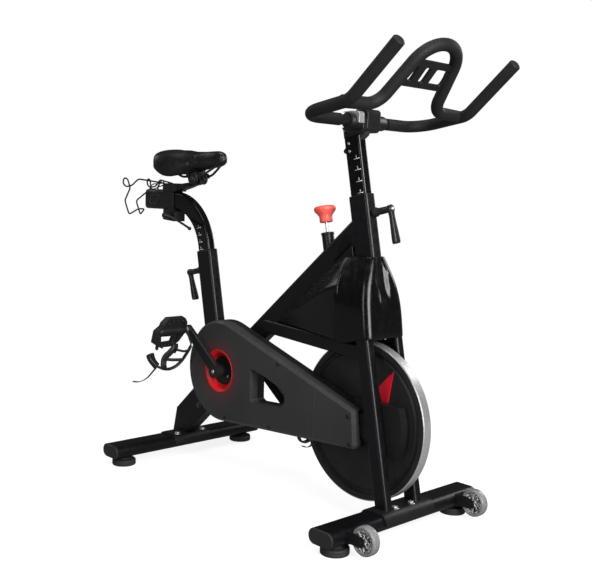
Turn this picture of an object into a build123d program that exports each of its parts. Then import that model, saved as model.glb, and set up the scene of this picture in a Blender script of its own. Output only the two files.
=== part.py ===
from build123d import *
import os
from math import cos, radians, sin, tan

os.makedirs("parts", exist_ok=True)

# An upright indoor spin bike.  Millimetres.  X runs forwards, Y to the rider's left, Z up.
# Heights are above the floor.  Lengths along X are first taken from the crank axle, and
# save() then moves everything so that the origin is the middle of the bike at floor level.

# ---------------------------------------------------------------- driving dimensions
MIDDLE_X = 90.702            # from the crank axle forwards to the middle of the bike's length
LEAN = 12.0                  # both posts and the fork lean back by this many degrees
SLOPE = tan(radians(LEAN))

CRANK_Z = 305.6              # height of the crank axle
CRANK_LENGTH = 170.0
CRANK_ANGLE = 142.2          # right arm at rest, anticlockwise from +X seen from the right
ARM_Y = 83.0                 # middle of a crank arm from the centre plane
PEDAL_HANG = 104.0           # a free pedal hangs with its toe cage down

WHEEL_X, WHEEL_Z = 500.7, 254.2      # flywheel axle
WHEEL_R = 203.6
RIM_HALF = 13.8

OUTER_W, OUTER_T = 64.0, 36.0        # frame tubes that hold the sliding posts
HEAD_W = 62.0
POST_W, POST_T = 52.0, 28.0          # the sliding posts
OUTER_CORNER, POST_CORNER = 9.0, 7.0
WALL = 2.5
FIT = 0.3                            # gap round a sliding post
SEAT_LEVER_DROP, HEAD_LEVER_DROP = -53.0, -47.0   # clamp levers, from the mouths of the tubes

SEAT_TOP = (-160.0, 638.0)           # centre of the seat tube's mouth, x and z
HEAD_TOP = (461.0, 816.0)            # centre of the head tube's mouth
SEAT_BEND_R = 165.0                  # centre line of the seat post's bend
ARM_TUBE_Z = 786.5                   # centre line of the seat post's level arm
ARM_REAR_X = -462.0

LEG_Y = 55.0                         # middle of a fork leg from the centre plane
LEG_W, LEG_T = 40.0, 27.0

STAB_W, STAB_H = 77.0, 38.0          # stabiliser section
STAB_Z = 46.0
STAB_FRONT_X, STAB_REAR_X = 624.5, -250.0
STAB_FRONT_HALF, STAB_REAR_HALF = 272.0, 274.5
FOOT_R = 34.7
FOOT_X = {"front": 624.5, "rear": -250.5}
FOOT_Y = {"front": 221.5, "rear": 225.0}

CASTER_X, CASTER_Y, CASTER_Z, CASTER_R = 704.0, 205.3, 49.0, 34.9

BEAM_DEPTH = 60.0
BEAM_ANGLE = 40.2                    # slope of the main beam
BEAM_POINT = (249.0, 551.7)          # a point on its centre line

GUARD_OUT, GUARD_JOIN, GUARD_IN = -73.0, -45.0, -20.0   # belt guard: faces and split line
GUARD_WALL = 3.0
NOSE_OUT = -41.0
BELT_Y, BELT_WIDTH = -32.0, 12.0
PULLEY_R, HUB_PULLEY_R = 104.0, 26.0
BELT_THICK = 4.0

BAR_Y, BAR_Z = 214.0, 1000.0         # side bars of the handlebar
BAR_BACK_X = 455.0                   # cross part of the handlebar
TUBE_R, GRIP_R = 12.7, 15.0

BRAKE_X, BRAKE_Z = 332.0, 788.0      # centre of the knob's top face

nodes = {}


# ---------------------------------------------------------------- helpers
def save(name, shape):
    """Move a sub-part to the bike's own origin and write it."""
    solids = [Pos(-MIDDLE_X, 0, 0) * solid for solid in shape.solids()]
    moved = solids[0] if len(solids) == 1 else Compound(solids)
    nodes[name] = moved
    export_step(moved, f"parts/{name}.step")


def group(*shapes):
    """Several separate solids as one node."""
    return Compound([solid for shape in shapes for solid in shape.solids()])


def mirrored(shape):
    return mirror(shape, about=Plane.XZ)


def both_sides(shape):
    return group(shape, mirrored(shape))


def slab(face, y_low, y_high):
    """A sketch drawn with x and z, thickened from y_low to y_high."""
    return extrude(Plane.XZ.offset(-y_high) * face, y_high - y_low)


def polygon(*points):
    return make_face(Polyline(*points, close=True))


def disc(x, z, radius):
    return Pos(x, z) * Circle(radius)


def pin_y(x, z, radius, y_low, y_high):
    """A round bar along Y."""
    return slab(disc(x, z, radius), y_low, y_high)


def lean_plane(x, z):
    """A frame whose Z runs up a leaning tube and whose X points forwards."""
    lean = radians(LEAN)
    return Plane(origin=(x, 0, z), x_dir=(cos(lean), 0, sin(lean)), z_dir=(-sin(lean), 0, cos(lean)))


def tube_section(width, thick, corner):
    return RectangleRounded(width, thick, corner)


def rod(start, end, radius):
    """A round bar between two points."""
    line = Line(start, end)
    return sweep(Plane(origin=line @ 0, z_dir=line % 0) * Circle(radius), path=line)


def wire_tube(path, radius):
    return sweep(Plane(origin=path @ 0, z_dir=path % 0) * Circle(radius), path=path)


def fork_x(z):
    """Middle of the fork and head tube at a height."""
    return HEAD_TOP[0] + 4.5 + SLOPE * (HEAD_TOP[1] - z)


def seat_x(z):
    return SEAT_TOP[0] + SLOPE * (SEAT_TOP[1] - z)


# ---------------------------------------------------------------- frame tubes
def beam_solid(depth, thick, start, end):
    """A bar along the main beam's centre line, from start to end of its length."""
    slope = radians(BEAM_ANGLE)
    plane = Plane(
        origin=(BEAM_POINT[0], 0, BEAM_POINT[1]),
        x_dir=(sin(slope), 0, -cos(slope)),
        z_dir=(cos(slope), 0, sin(slope)),
    )
    return plane * Pos(0, 0, start) * extrude(RectangleRounded(depth, thick, 9), end - start)


def leaning_tube(plane, width, thick, corner, low, high):
    """A rectangular tube with rounded corners, from low to high along a leaning plane's Z."""
    outer = tube_section(width, thick, corner)
    inner = tube_section(width - 2 * WALL, thick - 2 * WALL, corner - WALL)
    return plane * Pos(0, 0, low) * extrude(outer - inner, high - low)


def leaning_bar(plane, width, thick, corner, low, high):
    return plane * Pos(0, 0, low) * extrude(tube_section(width, thick, corner), high - low)


seat_plane = lean_plane(*SEAT_TOP)
head_plane = lean_plane(*HEAD_TOP)
SEAT_TUBE_LENGTH = 362.0
HEAD_TUBE_LENGTH = 262.0

seat_envelope = leaning_bar(seat_plane, OUTER_W, OUTER_T, OUTER_CORNER, -SEAT_TUBE_LENGTH, 0)
head_envelope = leaning_bar(head_plane, HEAD_W, OUTER_T, OUTER_CORNER, -HEAD_TUBE_LENGTH, 0)

BB_R, BB_BORE = 24.0, 17.5
BB_LOW, BB_HIGH = -22.0, 36.0
bracket_envelope = pin_y(0, CRANK_Z, BB_R, BB_LOW, BB_HIGH)


def make_bottom_bracket():
    return bracket_envelope - pin_y(0, CRANK_Z, BB_BORE, BB_LOW - 1, BB_HIGH + 1)


def make_seat_tube():
    tube = leaning_tube(seat_plane, OUTER_W, OUTER_T, OUTER_CORNER, -SEAT_TUBE_LENGTH, 0)
    bolt_hole = seat_plane * Pos(-OUTER_W / 2, 0, SEAT_LEVER_DROP) * Rot(0, 90, 0) * Cylinder(6.3, 14)
    return tube - bolt_hole


brake_axis_plane = lean_plane(BRAKE_X, BRAKE_Z)
BRAKE_SLEEVE_R, BRAKE_BORE = 16.0, 4.06
SLEEVE_TOP, SLEEVE_END = -71.0, -262.0


BEAM_START, BEAM_END = -430.0, 262.0
BEAM_REACH = 330.0                   # length before it is cut to fit the head tube


def behind_head():
    """Everything behind the middle of the head tube."""
    return head_plane * Pos(-300, 0, -100) * Box(600, 200, 900)


def make_main_beam():
    """Boxed beam from the head tube down to the bottom bracket, with the brake's sleeve through it."""
    beam = beam_solid(BEAM_DEPTH, OUTER_T, BEAM_START, BEAM_REACH) & behind_head()
    beam -= beam_solid(BEAM_DEPTH - 2 * WALL, OUTER_T - 2 * WALL, BEAM_START - 1, BEAM_REACH + 1)
    sleeve = brake_axis_plane * Pos(0, 0, SLEEVE_END) * extrude(Circle(BRAKE_SLEEVE_R), SLEEVE_TOP - SLEEVE_END)
    bore = brake_axis_plane * Pos(0, 0, SLEEVE_END - 1) * extrude(Circle(BRAKE_BORE), SLEEVE_TOP - SLEEVE_END + 2)
    return ((beam - head_envelope - seat_envelope - bracket_envelope) + sleeve) - bore


def make_head_tube():
    """Head tube welded to the crown that carries both fork legs."""
    tube = leaning_tube(head_plane, HEAD_W, OUTER_T, OUTER_CORNER, -HEAD_TUBE_LENGTH, 0)
    hole = head_plane * Pos(HEAD_W / 2, 0, HEAD_LEVER_DROP) * Rot(0, 90, 0) * Cylinder(6.3, 14)
    crown = head_plane * Pos(0, 0, -HEAD_TUBE_LENGTH - 46) * extrude(RectangleRounded(50, 132, 12), 46)
    return (tube - hole) + crown


LEG_TOP_Z = HEAD_TOP[1] - (HEAD_TUBE_LENGTH + 46) * cos(radians(LEAN)) - 1
leg_bottom_z = STAB_Z + STAB_H / 2


def fork_leg(side):
    plane = lean_plane(fork_x(WHEEL_Z), WHEEL_Z)
    low = (leg_bottom_z - 14 - WHEEL_Z) / cos(radians(LEAN))
    high = (LEG_TOP_Z - WHEEL_Z) / cos(radians(LEAN)) + 0.6
    section = RectangleRounded(LEG_W, LEG_T, 8)
    leg = plane * Pos(0, side * LEG_Y, low) * extrude(section, high - low)
    bore = plane * Pos(0, side * LEG_Y, low - 1) * extrude(RectangleRounded(LEG_W - 5, LEG_T - 5, 5.5), high - low - 6)
    trim = Pos(STAB_FRONT_X, side * LEG_Y, leg_bottom_z + 4 - 40) * Box(160, 60, 80)
    return leg - bore - trim


def lower_rail(side):
    """Splayed bar from the main beam to one fork leg, just above the belt guard."""
    start, end = Vector(120, side * 5, 449), Vector(fork_x(438) - 2, side * 55, 437)
    direction = end - start
    plane = Plane(origin=start, z_dir=direction, x_dir=(0, 0, 1))
    bar = plane * extrude(RectangleRounded(37, 25, 6), direction.length)
    bore = plane * Pos(0, 0, -1) * extrude(RectangleRounded(32, 20, 4), direction.length + 2)
    keep = Pos(350, side * 250, 440) * Box(700, 500, 200)
    legs = fork_leg(side)
    outer_leg = legs + (lean_plane(fork_x(WHEEL_Z), WHEEL_Z)
                        * Pos(0, side * LEG_Y, 0) * extrude(RectangleRounded(LEG_W, LEG_T, 8), 300))
    return ((bar - bore) & keep) - beam_solid(BEAM_DEPTH, OUTER_T, BEAM_START, BEAM_END) - outer_leg


def make_rear_leg():
    """Boxed leg from the bottom bracket down to the rear stabiliser."""
    profile = polygon((-62, 330), (-273, 139), (-290, 62), (-234, 62), (-194, 93), (-125, 154), (-28, 238), (-14, 282))
    outer = slab(profile, -OUTER_T / 2, OUTER_T / 2)
    inner = slab(offset(profile, amount=-3), 3 - OUTER_T / 2, OUTER_T / 2 - 3)
    plate = slab(Pos(STAB_REAR_X, STAB_Z) * stabiliser_section(4), -40, 40)
    beam = beam_solid(BEAM_DEPTH, OUTER_T, BEAM_START, BEAM_END)
    return outer - inner - seat_envelope - bracket_envelope - beam - plate


# ---------------------------------------------------------------- stabilisers and feet
def stabiliser_section(grow=0.0):
    return RectangleRounded(STAB_W + 2 * grow, STAB_H + 2 * grow, STAB_H / 2 + grow - 0.5)


def make_stabiliser(x, half, foot_y, foot_x):
    outer = slab(Pos(x, STAB_Z) * stabiliser_section(), -half + 4, half - 4)
    inner = slab(Pos(x, STAB_Z) * stabiliser_section(-2.5), -half, half)
    tube = outer - inner
    for side in (-1, 1):
        boss = Pos(foot_x, side * foot_y, STAB_Z - STAB_H / 2 + 11) * Cylinder(11, 22)
        hole = Pos(foot_x, side * foot_y, STAB_Z - STAB_H / 2 + 13) * Cylinder(5.05, 40)
        tube = (tube + boss) - hole
    return tube


def end_cap(x, half, side):
    face = Pos(x, STAB_Z) * stabiliser_section()
    plug = slab(Pos(x, STAB_Z) * stabiliser_section(-2.8), half - 18, half - 4)
    lid = slab(face, half - 4, half)
    lid = chamfer(lid.faces().sort_by(Axis.Y)[-1].edges(), 1.5)
    cap = lid + plug
    return cap if side > 0 else mirrored(cap)


def make_end_caps():
    ends = []
    for x, half in ((STAB_FRONT_X, STAB_FRONT_HALF), (STAB_REAR_X, STAB_REAR_HALF)):
        ends += [end_cap(x, half, side) for side in (-1, 1)]
    return group(*ends)


def bracket(x, half_width):
    """Curved saddle plate that wraps the top of a stabiliser."""
    plate = slab(Pos(x, STAB_Z) * stabiliser_section(4), -half_width, half_width)
    plate -= slab(Pos(x, STAB_Z) * stabiliser_section(), -half_width, half_width)
    return plate & (Pos(x, 0, STAB_Z + 40) * Box(200, 400, 86))


BRACKET_HALF = {"front": 92.0, "rear": 68.0}


def make_brackets():
    return group(bracket(STAB_FRONT_X, BRACKET_HALF["front"]), bracket(STAB_REAR_X, BRACKET_HALF["rear"]))


def foot(corner, side):
    """Levelling foot: rubber pad with a moulded shoulder on a threaded stud."""
    x, y = FOOT_X[corner], side * FOOT_Y[corner]
    pad = Pos(x, y, 0) * extrude(Circle(FOOT_R), 17)
    pad = chamfer(pad.faces().sort_by(Axis.Z)[-1].edges(), 2.5)
    pad = chamfer(pad.faces().sort_by(Axis.Z)[0].edges(), 1.5)
    shoulder = Pos(x, y, 17) * extrude(Circle(20), 6, taper=28)
    stud = Pos(x, y, 10) * extrude(Circle(5.0), 42)
    return pad + shoulder + stud


def caster_bracket(side):
    """Fork of two cheeks that holds one transport wheel ahead of the stabiliser."""
    cheek = polygon((655, 62), (690, 64), (712, 58), (713, 40), (700, 36), (655, 36))
    plates = group(
        slab(cheek, CASTER_Y - 18, CASTER_Y - 14),
        slab(cheek, CASTER_Y + 14, CASTER_Y + 18),
    )
    root_block = slab(polygon((640, 62), (666, 62), (666, 32), (640, 32)), CASTER_Y - 18, CASTER_Y + 18)
    axle = pin_y(CASTER_X, CASTER_Z, 4.0, CASTER_Y - 22, CASTER_Y + 22)
    body = (plates + root_block) - slab(Pos(STAB_FRONT_X, STAB_Z) * stabiliser_section(), 0, 400)
    body = body + axle
    return body if side > 0 else mirrored(body)


def caster_wheel(side):
    tyre = pin_y(CASTER_X, CASTER_Z, CASTER_R, CASTER_Y - 12, CASTER_Y + 12)
    edges = tyre.edges().filter_by(GeomType.CIRCLE)
    tyre = fillet(edges, 6)
    for face_y in (CASTER_Y - 12, CASTER_Y + 9):
        tyre -= slab(disc(CASTER_X, CASTER_Z, 20) - disc(CASTER_X, CASTER_Z, 9), face_y, face_y + 3)
    tyre -= pin_y(CASTER_X, CASTER_Z, 4.06, CASTER_Y - 13, CASTER_Y + 13)
    return tyre if side > 0 else mirrored(tyre)


# ---------------------------------------------------------------- covers
SHROUD_SHOULDER = ((72, 470), (71, 545), (66, 583), (56, 618), (42, 648), (27, 671))
SHROUD_HALF, SHROUD_CORNER = 72.0, 20.0
SHROUD_SIDE = ((568, 470), (555, 560), (541, 632), (528, 671), (470, 664), (430, 655), (446, 560), (470, 462))


def facing_forward(x, face):
    """Place a sketch drawn with y and z in the plane at one x."""
    return Plane(origin=(x, 0, 0), x_dir=(0, 1, 0), z_dir=(1, 0, 0)) * face


def shroud_block(shrink):
    """The fairing as a solid block, or its inside when shrunk."""
    right = [(y - shrink, z) for y, z in SHROUD_SHOULDER]
    left = [(-y, z) for y, z in reversed(right)]
    outline = Spline(*right) + Line(right[-1], left[0]) + Spline(*left) + Line(left[-1], right[0])
    bell = extrude(facing_forward(300, make_face(outline)), 400)
    side = polygon(*SHROUD_SIDE)
    if shrink:
        side = offset(side, amount=-shrink)
    depth, half = 240 - 2 * shrink, SHROUD_HALF - shrink
    plan = RectangleRounded(depth, 2 * half, SHROUD_CORNER - shrink)
    rounded = lean_plane(573 - 120, 470) * Pos(0, 0, -60) * extrude(plan, 340)
    return bell & slab(side, -90, 90) & rounded


def make_front_shroud():
    """Bell-shaped fairing over the crown, leaning with the fork."""
    shell = shroud_block(0.0) - shroud_block(2.5)
    shell -= Pos(500, 0, 440) * Box(300, 2 * 69, 70)
    clear_head = leaning_bar(head_plane, HEAD_W + 1, OUTER_T + 1, OUTER_CORNER, -HEAD_TUBE_LENGTH - 60, 0)
    shell = shell - clear_head - beam_solid(BEAM_DEPTH + 1, OUTER_T + 1, BEAM_START, BEAM_REACH)
    return shell - lower_rail(-1) - lower_rail(1)


def triangle_cover(side):
    """Panel that fills the triangle between beam, rail and shroud, flaring towards the fork."""
    tip_x, wide_x = 200, 480
    panel = loft([
        facing_forward(tip_x, polygon((19, 468), (22, 468), (22, 474), (19, 474))),
        facing_forward(wide_x, polygon((68, 455), (72, 455), (72, 612), (68, 612))),
    ])
    bevel = loft([
        facing_forward(tip_x, polygon((19, 474), (22, 474), (22, 477), (19, 477))),
        facing_forward(wide_x, polygon((68, 612), (72, 612), (31, 668), (27, 668))),
    ])
    cover = panel + bevel - shroud_block(0.0) - lower_rail(1)
    cover -= beam_solid(BEAM_DEPTH + 0.4, OUTER_T + 0.4, BEAM_START, BEAM_REACH)
    return cover if side > 0 else mirrored(cover)


def guard_outline(shrink=0.0):
    """Outline of the belt guard: one hull round the crank pulley and the front end."""
    rings = [
        disc(0, CRANK_Z, 145 - shrink).edge(),
        disc(518, 283, 12 - shrink).edge(),
        disc(525, 207, 12 - shrink).edge(),
    ]
    return make_hull(rings)


def window_outline(grow=0.0):
    corners = polygon((138, 336), (196, 323), (266, 300), (281, 288), (279, 264), (262, 247), (150, 240), (139, 246))
    rounded = fillet(corners.vertices(), 7)
    return offset(rounded, amount=grow) if grow else rounded


def nose_outline(shrink=0.0):
    """Part of the guard that reaches forward between the fork leg and the flywheel."""
    band = Pos(580, 254) * Rectangle(160 - 2 * shrink, 126 - 2 * shrink)
    return disc(WHEEL_X, WHEEL_Z, 156 - shrink) & band


def bevelled(block):
    return chamfer(block.faces().sort_by(Axis.Y)[0].edges(), 8)


def make_guard_outer():
    solid = bevelled(slab(guard_outline(), GUARD_OUT, GUARD_JOIN))
    cavity = bevelled(slab(guard_outline(GUARD_WALL), GUARD_OUT + GUARD_WALL, GUARD_JOIN + 1))
    dish = Pos(0, GUARD_OUT, CRANK_Z) * Rot(-90, 0, 0) * Pos(0, 0, 8) * Cone(59, 41.5, 16)
    dish_wall = Pos(0, GUARD_OUT, CRANK_Z) * Rot(-90, 0, 0) * Pos(0, 0, 9.5) * Cone(63, 44.5, 19)
    tunnel = slab(window_outline(GUARD_WALL), GUARD_OUT + 1, GUARD_JOIN)
    shell = (solid - cavity) + (dish_wall + tunnel & solid)
    shell = shell - dish - pin_y(0, CRANK_Z, 41.5, GUARD_OUT + 15, GUARD_JOIN + 1)
    shell -= slab(window_outline(), GUARD_OUT - 1, GUARD_JOIN + 1)
    shell -= pin_y(0, CRANK_Z, 60, GUARD_OUT + 19, GUARD_JOIN + 1) & pin_y(0, CRANK_Z, 44.6, -200, 200)
    slot = Pos(540, -47, WHEEL_Z) * Box(60, 12, 70)
    return shell - slot


def make_guard_inner():
    solid = slab(guard_outline(), GUARD_JOIN, GUARD_IN)
    nose = slab(nose_outline(), NOSE_OUT, GUARD_IN + 2.5)
    cavity = slab(guard_outline(GUARD_WALL), GUARD_JOIN - 1, GUARD_IN - GUARD_WALL)
    nose_cavity = slab(nose_outline(GUARD_WALL), NOSE_OUT + GUARD_WALL, GUARD_IN + 2.5 - GUARD_WALL)
    tunnel = slab(window_outline(GUARD_WALL), GUARD_JOIN, GUARD_IN)
    plate_slot = Pos(556, -46.6, WHEEL_Z) * Box(90, 8.2, 66)
    shell = (solid - cavity) + nose - nose_cavity + (tunnel & solid)
    shell -= slab(window_outline(), GUARD_JOIN - 1, GUARD_IN + 1)
    shell -= pin_y(0, CRANK_Z, BB_R + 2, -60, 0)
    shell -= pin_y(WHEEL_X, WHEEL_Z, 34, -60, 0)
    return shell - plate_slot


GUARD_SCREWS = ((-130, 314), (250, 365), (34, 177), (223, 188), (512, 275), (520, 206))


def make_fasteners():
    """Screws of the belt guard and bolts of the stabiliser brackets."""
    screws = [pin_y(x, z, 5.5, GUARD_OUT - 1.2, GUARD_OUT) - pin_y(x, z, 2.2, GUARD_OUT - 2, GUARD_OUT - 0.6)
              for x, z in GUARD_SCREWS]
    top = STAB_Z + STAB_H / 2 + 4
    bolts = []
    for x, half in ((STAB_FRONT_X + 14, 30), (STAB_REAR_X + 22, 48)):
        for y in (-half, half):
            bolts.append(Pos(x, y, top) * extrude(RegularPolygon(8, 6), 6))
    leg_bolt = pin_y(-160, 166, 7, -29, -25)
    return group(*screws, *bolts, leg_bolt)


# ---------------------------------------------------------------- drive
def make_bearings():
    """Two crank bearings in the bottom bracket and two on the flywheel axle."""
    crank = [pin_y(0, CRANK_Z, BB_BORE, y, y + 11) - pin_y(0, CRANK_Z, 10.05, y - 1, y + 12) for y in (-20, 23)]
    return group(*crank)


def make_crank_axle():
    return pin_y(0, CRANK_Z, 10.0, -92, 92)


def crank_arm(side):
    angle = radians(CRANK_ANGLE) if side < 0 else radians(CRANK_ANGLE + 180)
    tip_x, tip_z = CRANK_LENGTH * cos(angle), CRANK_Z + CRANK_LENGTH * sin(angle)
    low, high = ARM_Y - 6.5, ARM_Y + 6.5
    boss = pin_y(0, CRANK_Z, 19, ARM_Y - 13, ARM_Y + 11)
    blade = slab(make_hull([disc(0, CRANK_Z, 17).edge(), disc(tip_x, tip_z, 13.5).edge()]), low, high)
    arm = fillet(blade.faces().sort_by(Axis.Y)[-1].edges(), 3) + boss
    arm -= pin_y(0, CRANK_Z, 10.0, 0, ARM_Y + 9)
    arm -= pin_y(tip_x, tip_z, 7.0, low - 1, high + 1)
    return arm if side > 0 else mirrored(arm)


def make_crank_pulley():
    rim = pin_y(0, CRANK_Z, PULLEY_R, BELT_Y - BELT_WIDTH / 2 - 1, BELT_Y + BELT_WIDTH / 2 + 1)
    web_cut = slab(disc(0, CRANK_Z, PULLEY_R - 8) - disc(0, CRANK_Z, 26), BELT_Y - 3, BELT_Y + 20)
    web_cut += slab(disc(0, CRANK_Z, PULLEY_R - 8) - disc(0, CRANK_Z, 26), BELT_Y - 20, BELT_Y - 7)
    holes = [pin_y(66 * cos(radians(a)), CRANK_Z + 66 * sin(radians(a)), 19, -60, 0) for a in range(0, 360, 60)]
    return rim - web_cut - group(*holes) - pin_y(0, CRANK_Z, 10.0, -60, 0)


def make_crank_disc():
    """Dark cover that fills the floor of the guard's dish."""
    plate = pin_y(0, CRANK_Z, 39.7, -59, -55)
    collar = pin_y(0, CRANK_Z, 17, -70, -40)
    return (plate + collar) - pin_y(0, CRANK_Z, 10.0, -90, 0)


def make_flywheel():
    profile = [
        (33, -9), (172, -9), (178, -6.5), (184, -6.5), (187, -RIM_HALF), (WHEEL_R - 2, -RIM_HALF),
        (WHEEL_R, -RIM_HALF + 2), (WHEEL_R, RIM_HALF - 2), (WHEEL_R - 2, RIM_HALF), (187, RIM_HALF),
        (184, 6.5), (178, 6.5), (172, 9), (33, 9), (30, 17), (15.0, 17), (15.0, -17), (30, -17),
    ]
    section = make_face(Polyline(*profile, close=True))
    wheel = revolve(section, axis=Axis.Y)
    return Pos(WHEEL_X, 0, WHEEL_Z) * wheel


def make_hub_pulley():
    low, high = BELT_Y - BELT_WIDTH / 2 - 1.5, -17
    ring = pin_y(WHEEL_X, WHEEL_Z, HUB_PULLEY_R, low, high)
    flange = pin_y(WHEEL_X, WHEEL_Z, HUB_PULLEY_R + 3, low, low + 1.5)
    return ring + flange - pin_y(WHEEL_X, WHEEL_Z, 9, low - 1, 0)


def make_flywheel_bearings():
    parts = []
    for y in (-15, 4):
        ring = pin_y(WHEEL_X, WHEEL_Z, 15.0, y, y + 11) - pin_y(WHEEL_X, WHEEL_Z, 6.05, y - 1, y + 12)
        parts.append(ring)
    return group(*parts)


def make_flywheel_axle():
    shaft = pin_y(WHEEL_X, WHEEL_Z, 6.0, -56, 56)
    nuts = []
    for y in (-54.5, 50.5):
        nuts.append(slab(Pos(WHEEL_X, WHEEL_Z) * (RegularPolygon(11, 6) - Circle(6.0)), y, y + 4))
    return group(shaft + nuts[0] + nuts[1])


def axle_plate(side):
    """Dropout plate from the back of a fork leg to the flywheel axle."""
    outline = make_hull([disc(WHEEL_X, WHEEL_Z, 20).edge(), disc(564, 280, 12).edge(), disc(574, 226, 12).edge()])
    plate = slab(outline, 43.5, 49.5) - pin_y(WHEEL_X, WHEEL_Z, 6.0, 0, 80)
    leg = lean_plane(fork_x(WHEEL_Z), WHEEL_Z) * Pos(0, LEG_Y, -200) * extrude(
        RectangleRounded(LEG_W, LEG_T, 8), 400)
    plate -= leg
    return plate if side > 0 else mirrored(plate)


def belt_band(radius_gap):
    big = disc(0, CRANK_Z, PULLEY_R + radius_gap).edge()
    small = disc(WHEEL_X, WHEEL_Z, HUB_PULLEY_R + radius_gap).edge()
    return make_hull([big, small])


def make_belt():
    ring = belt_band(0.3 + BELT_THICK) - belt_band(0.3)
    return slab(ring, BELT_Y - BELT_WIDTH / 2 + 0.4, BELT_Y + BELT_WIDTH / 2 - 0.4)


# ---------------------------------------------------------------- pedals
def pedal_frame(side):
    """Pedal spindle's place: X out along the spindle, local Z the pedal's sole normal."""
    angle = radians(CRANK_ANGLE) if side < 0 else radians(CRANK_ANGLE + 180)
    x, z = CRANK_LENGTH * cos(angle), CRANK_Z + CRANK_LENGTH * sin(angle)
    return Pos(x, 0, z) * Rot(0, PEDAL_HANG, 0)


PEDAL_IN, PEDAL_OUT = 98.0, 188.0


def pedal_body(side):
    """Platform with two windows round a central barrel, made level and then hung."""
    return placed_pedal(level_pedal(), side)


def level_pedal():
    middle = (PEDAL_IN + PEDAL_OUT) / 2
    width = PEDAL_OUT - PEDAL_IN
    plate = Pos(0, middle, 0) * extrude(RectangleRounded(94, width, 14), 11, both=True)
    for x in (-27, 27):
        plate -= Pos(x, middle, 0) * extrude(RectangleRounded(22, width - 32, 6), 20, both=True)
    barrel = Pos(0, middle, 0) * Rot(90, 0, 0) * Cylinder(14, width)
    return plate + barrel - Pos(0, middle, 0) * Rot(90, 0, 0) * Cylinder(7.06, width + 4)


def placed_pedal(shape, side):
    if side < 0:
        shape = mirrored(shape)
    return pedal_frame(side) * shape


def pedal_spindle(side):
    shaft = Pos(0, (PEDAL_IN + PEDAL_OUT) / 2 - 9, 0) * Rot(90, 0, 0) * Cylinder(7.0, PEDAL_OUT - PEDAL_IN + 6)
    stub = Pos(0, ARM_Y, 0) * Rot(90, 0, 0) * Cylinder(7.0, 13)
    collar = Pos(0, ARM_Y + 10.5, 0) * Rot(90, 0, 0) * Cylinder(10, 8)
    return placed_pedal(shaft + stub + collar, side)


def pedal_cage(side):
    """Toe clip bent up from the pedal's front edge, and the strap that closes it."""
    middle = (PEDAL_IN + PEDAL_OUT) / 2
    path = FilletPolyline((47.3, -3), (86, -3), (104, 26), (84, 58), (48, 62), radius=14)
    clip = slab(trace(path, 5), middle - 28, middle + 28)
    strap_path = FilletPolyline((8, 11.3), (10, 56), (30, 62), (46, 62), radius=8)
    strap = slab(trace(strap_path, 3), middle - 10, middle + 10)
    return placed_pedal(group(clip - level_pedal(), strap - clip - level_pedal()), side)


# ---------------------------------------------------------------- seat
SLEEVE_DEPTH = 80.0


def seat_post_path():
    bend_x = seat_x(ARM_TUBE_Z)
    low_z = SEAT_TOP[1] - 235
    return Plane.XZ * FilletPolyline((seat_x(low_z), low_z), (bend_x, ARM_TUBE_Z), (ARM_REAR_X, ARM_TUBE_Z),
                                     radius=SEAT_BEND_R)


def make_seat_post():
    path = seat_post_path()
    start = Plane(origin=path @ 0, z_dir=path % 0, x_dir=(cos(radians(LEAN)), 0, sin(radians(LEAN))))
    outer = sweep(start * tube_section(POST_W, POST_T, POST_CORNER), path=path)
    inner = sweep(start * tube_section(POST_W - 2 * WALL, POST_T - 2 * WALL, POST_CORNER - WALL), path=path)
    lid = slab(Pos(ARM_REAR_X + 2, ARM_TUBE_Z) * RectangleRounded(4, POST_W - 8, 1.5), -POST_T / 2 + 4, POST_T / 2 - 4)
    return (outer - inner) + lid


def post_sleeve(plane, width, lever_drop):
    """Plastic liner in the mouth of a frame tube, with a thin collar on top."""
    liner = leaning_bar(plane, width - 2 * WALL, OUTER_T - 2 * WALL, OUTER_CORNER - WALL, -SLEEVE_DEPTH, 0)
    collar = leaning_bar(plane, width, OUTER_T, OUTER_CORNER, 0, 3)
    hole = plane * Pos(0, 0, lever_drop) * Rot(0, 90, 0) * Cylinder(6.3, width + 10)
    gap = leaning_bar(plane, POST_W + 2 * FIT, POST_T + 2 * FIT, POST_CORNER, -SLEEVE_DEPTH - 10, 20)
    return (liner + collar) - gap - hole


SLIDER_X = (-365.0, -297.0)
ARM_TOP, ARM_BOTTOM = ARM_TUBE_Z + POST_W / 2, ARM_TUBE_Z - POST_W / 2
SADDLE_PIVOT = (-212.0, 853.0)
SLIDER_SCREW = (-328.0, ARM_BOTTOM - 22)


def make_seat_slider():
    """Clamp that rides on the level arm, with the plate that carries the saddle."""
    top = slab(Pos((SLIDER_X[0] + SLIDER_X[1]) / 2, ARM_TOP + 13) * RectangleRounded(68, 25, 5), -21, 21)
    straps = slab(Pos(-326, ARM_TUBE_Z) * Rectangle(24, POST_W + 14), -POST_T / 2 - 5, POST_T / 2 + 5)
    straps -= slab(Pos(-326, ARM_TUBE_Z) * Rectangle(40, POST_W + 1), -POST_T / 2 - 0.5, POST_T / 2 + 0.5)
    block = polygon((-362, ARM_BOTTOM - 3), (-312, ARM_BOTTOM - 3), (-302, ARM_BOTTOM - 12),
                    (-302, ARM_BOTTOM - 40), (-362, ARM_BOTTOM - 36))
    low = slab(fillet(block.vertices(), 3), -20, 20) - pin_y(*SLIDER_SCREW, 5.06, -30, 30)
    plate = slab(polygon((-300, ARM_TOP + 3), (-240, 830), (-240, 841), (-300, ARM_TOP + 22)), -17, 17)
    tongue = slab(polygon((-242, 829), (-190, 838), (-190, 847), (-201, 861), (-223, 861), (-242, 841)), -8.5, 8.5)
    tongue -= pin_y(*SADDLE_PIVOT, 4.06, -20, 20)
    return top + straps + low + plate + tongue


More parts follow.
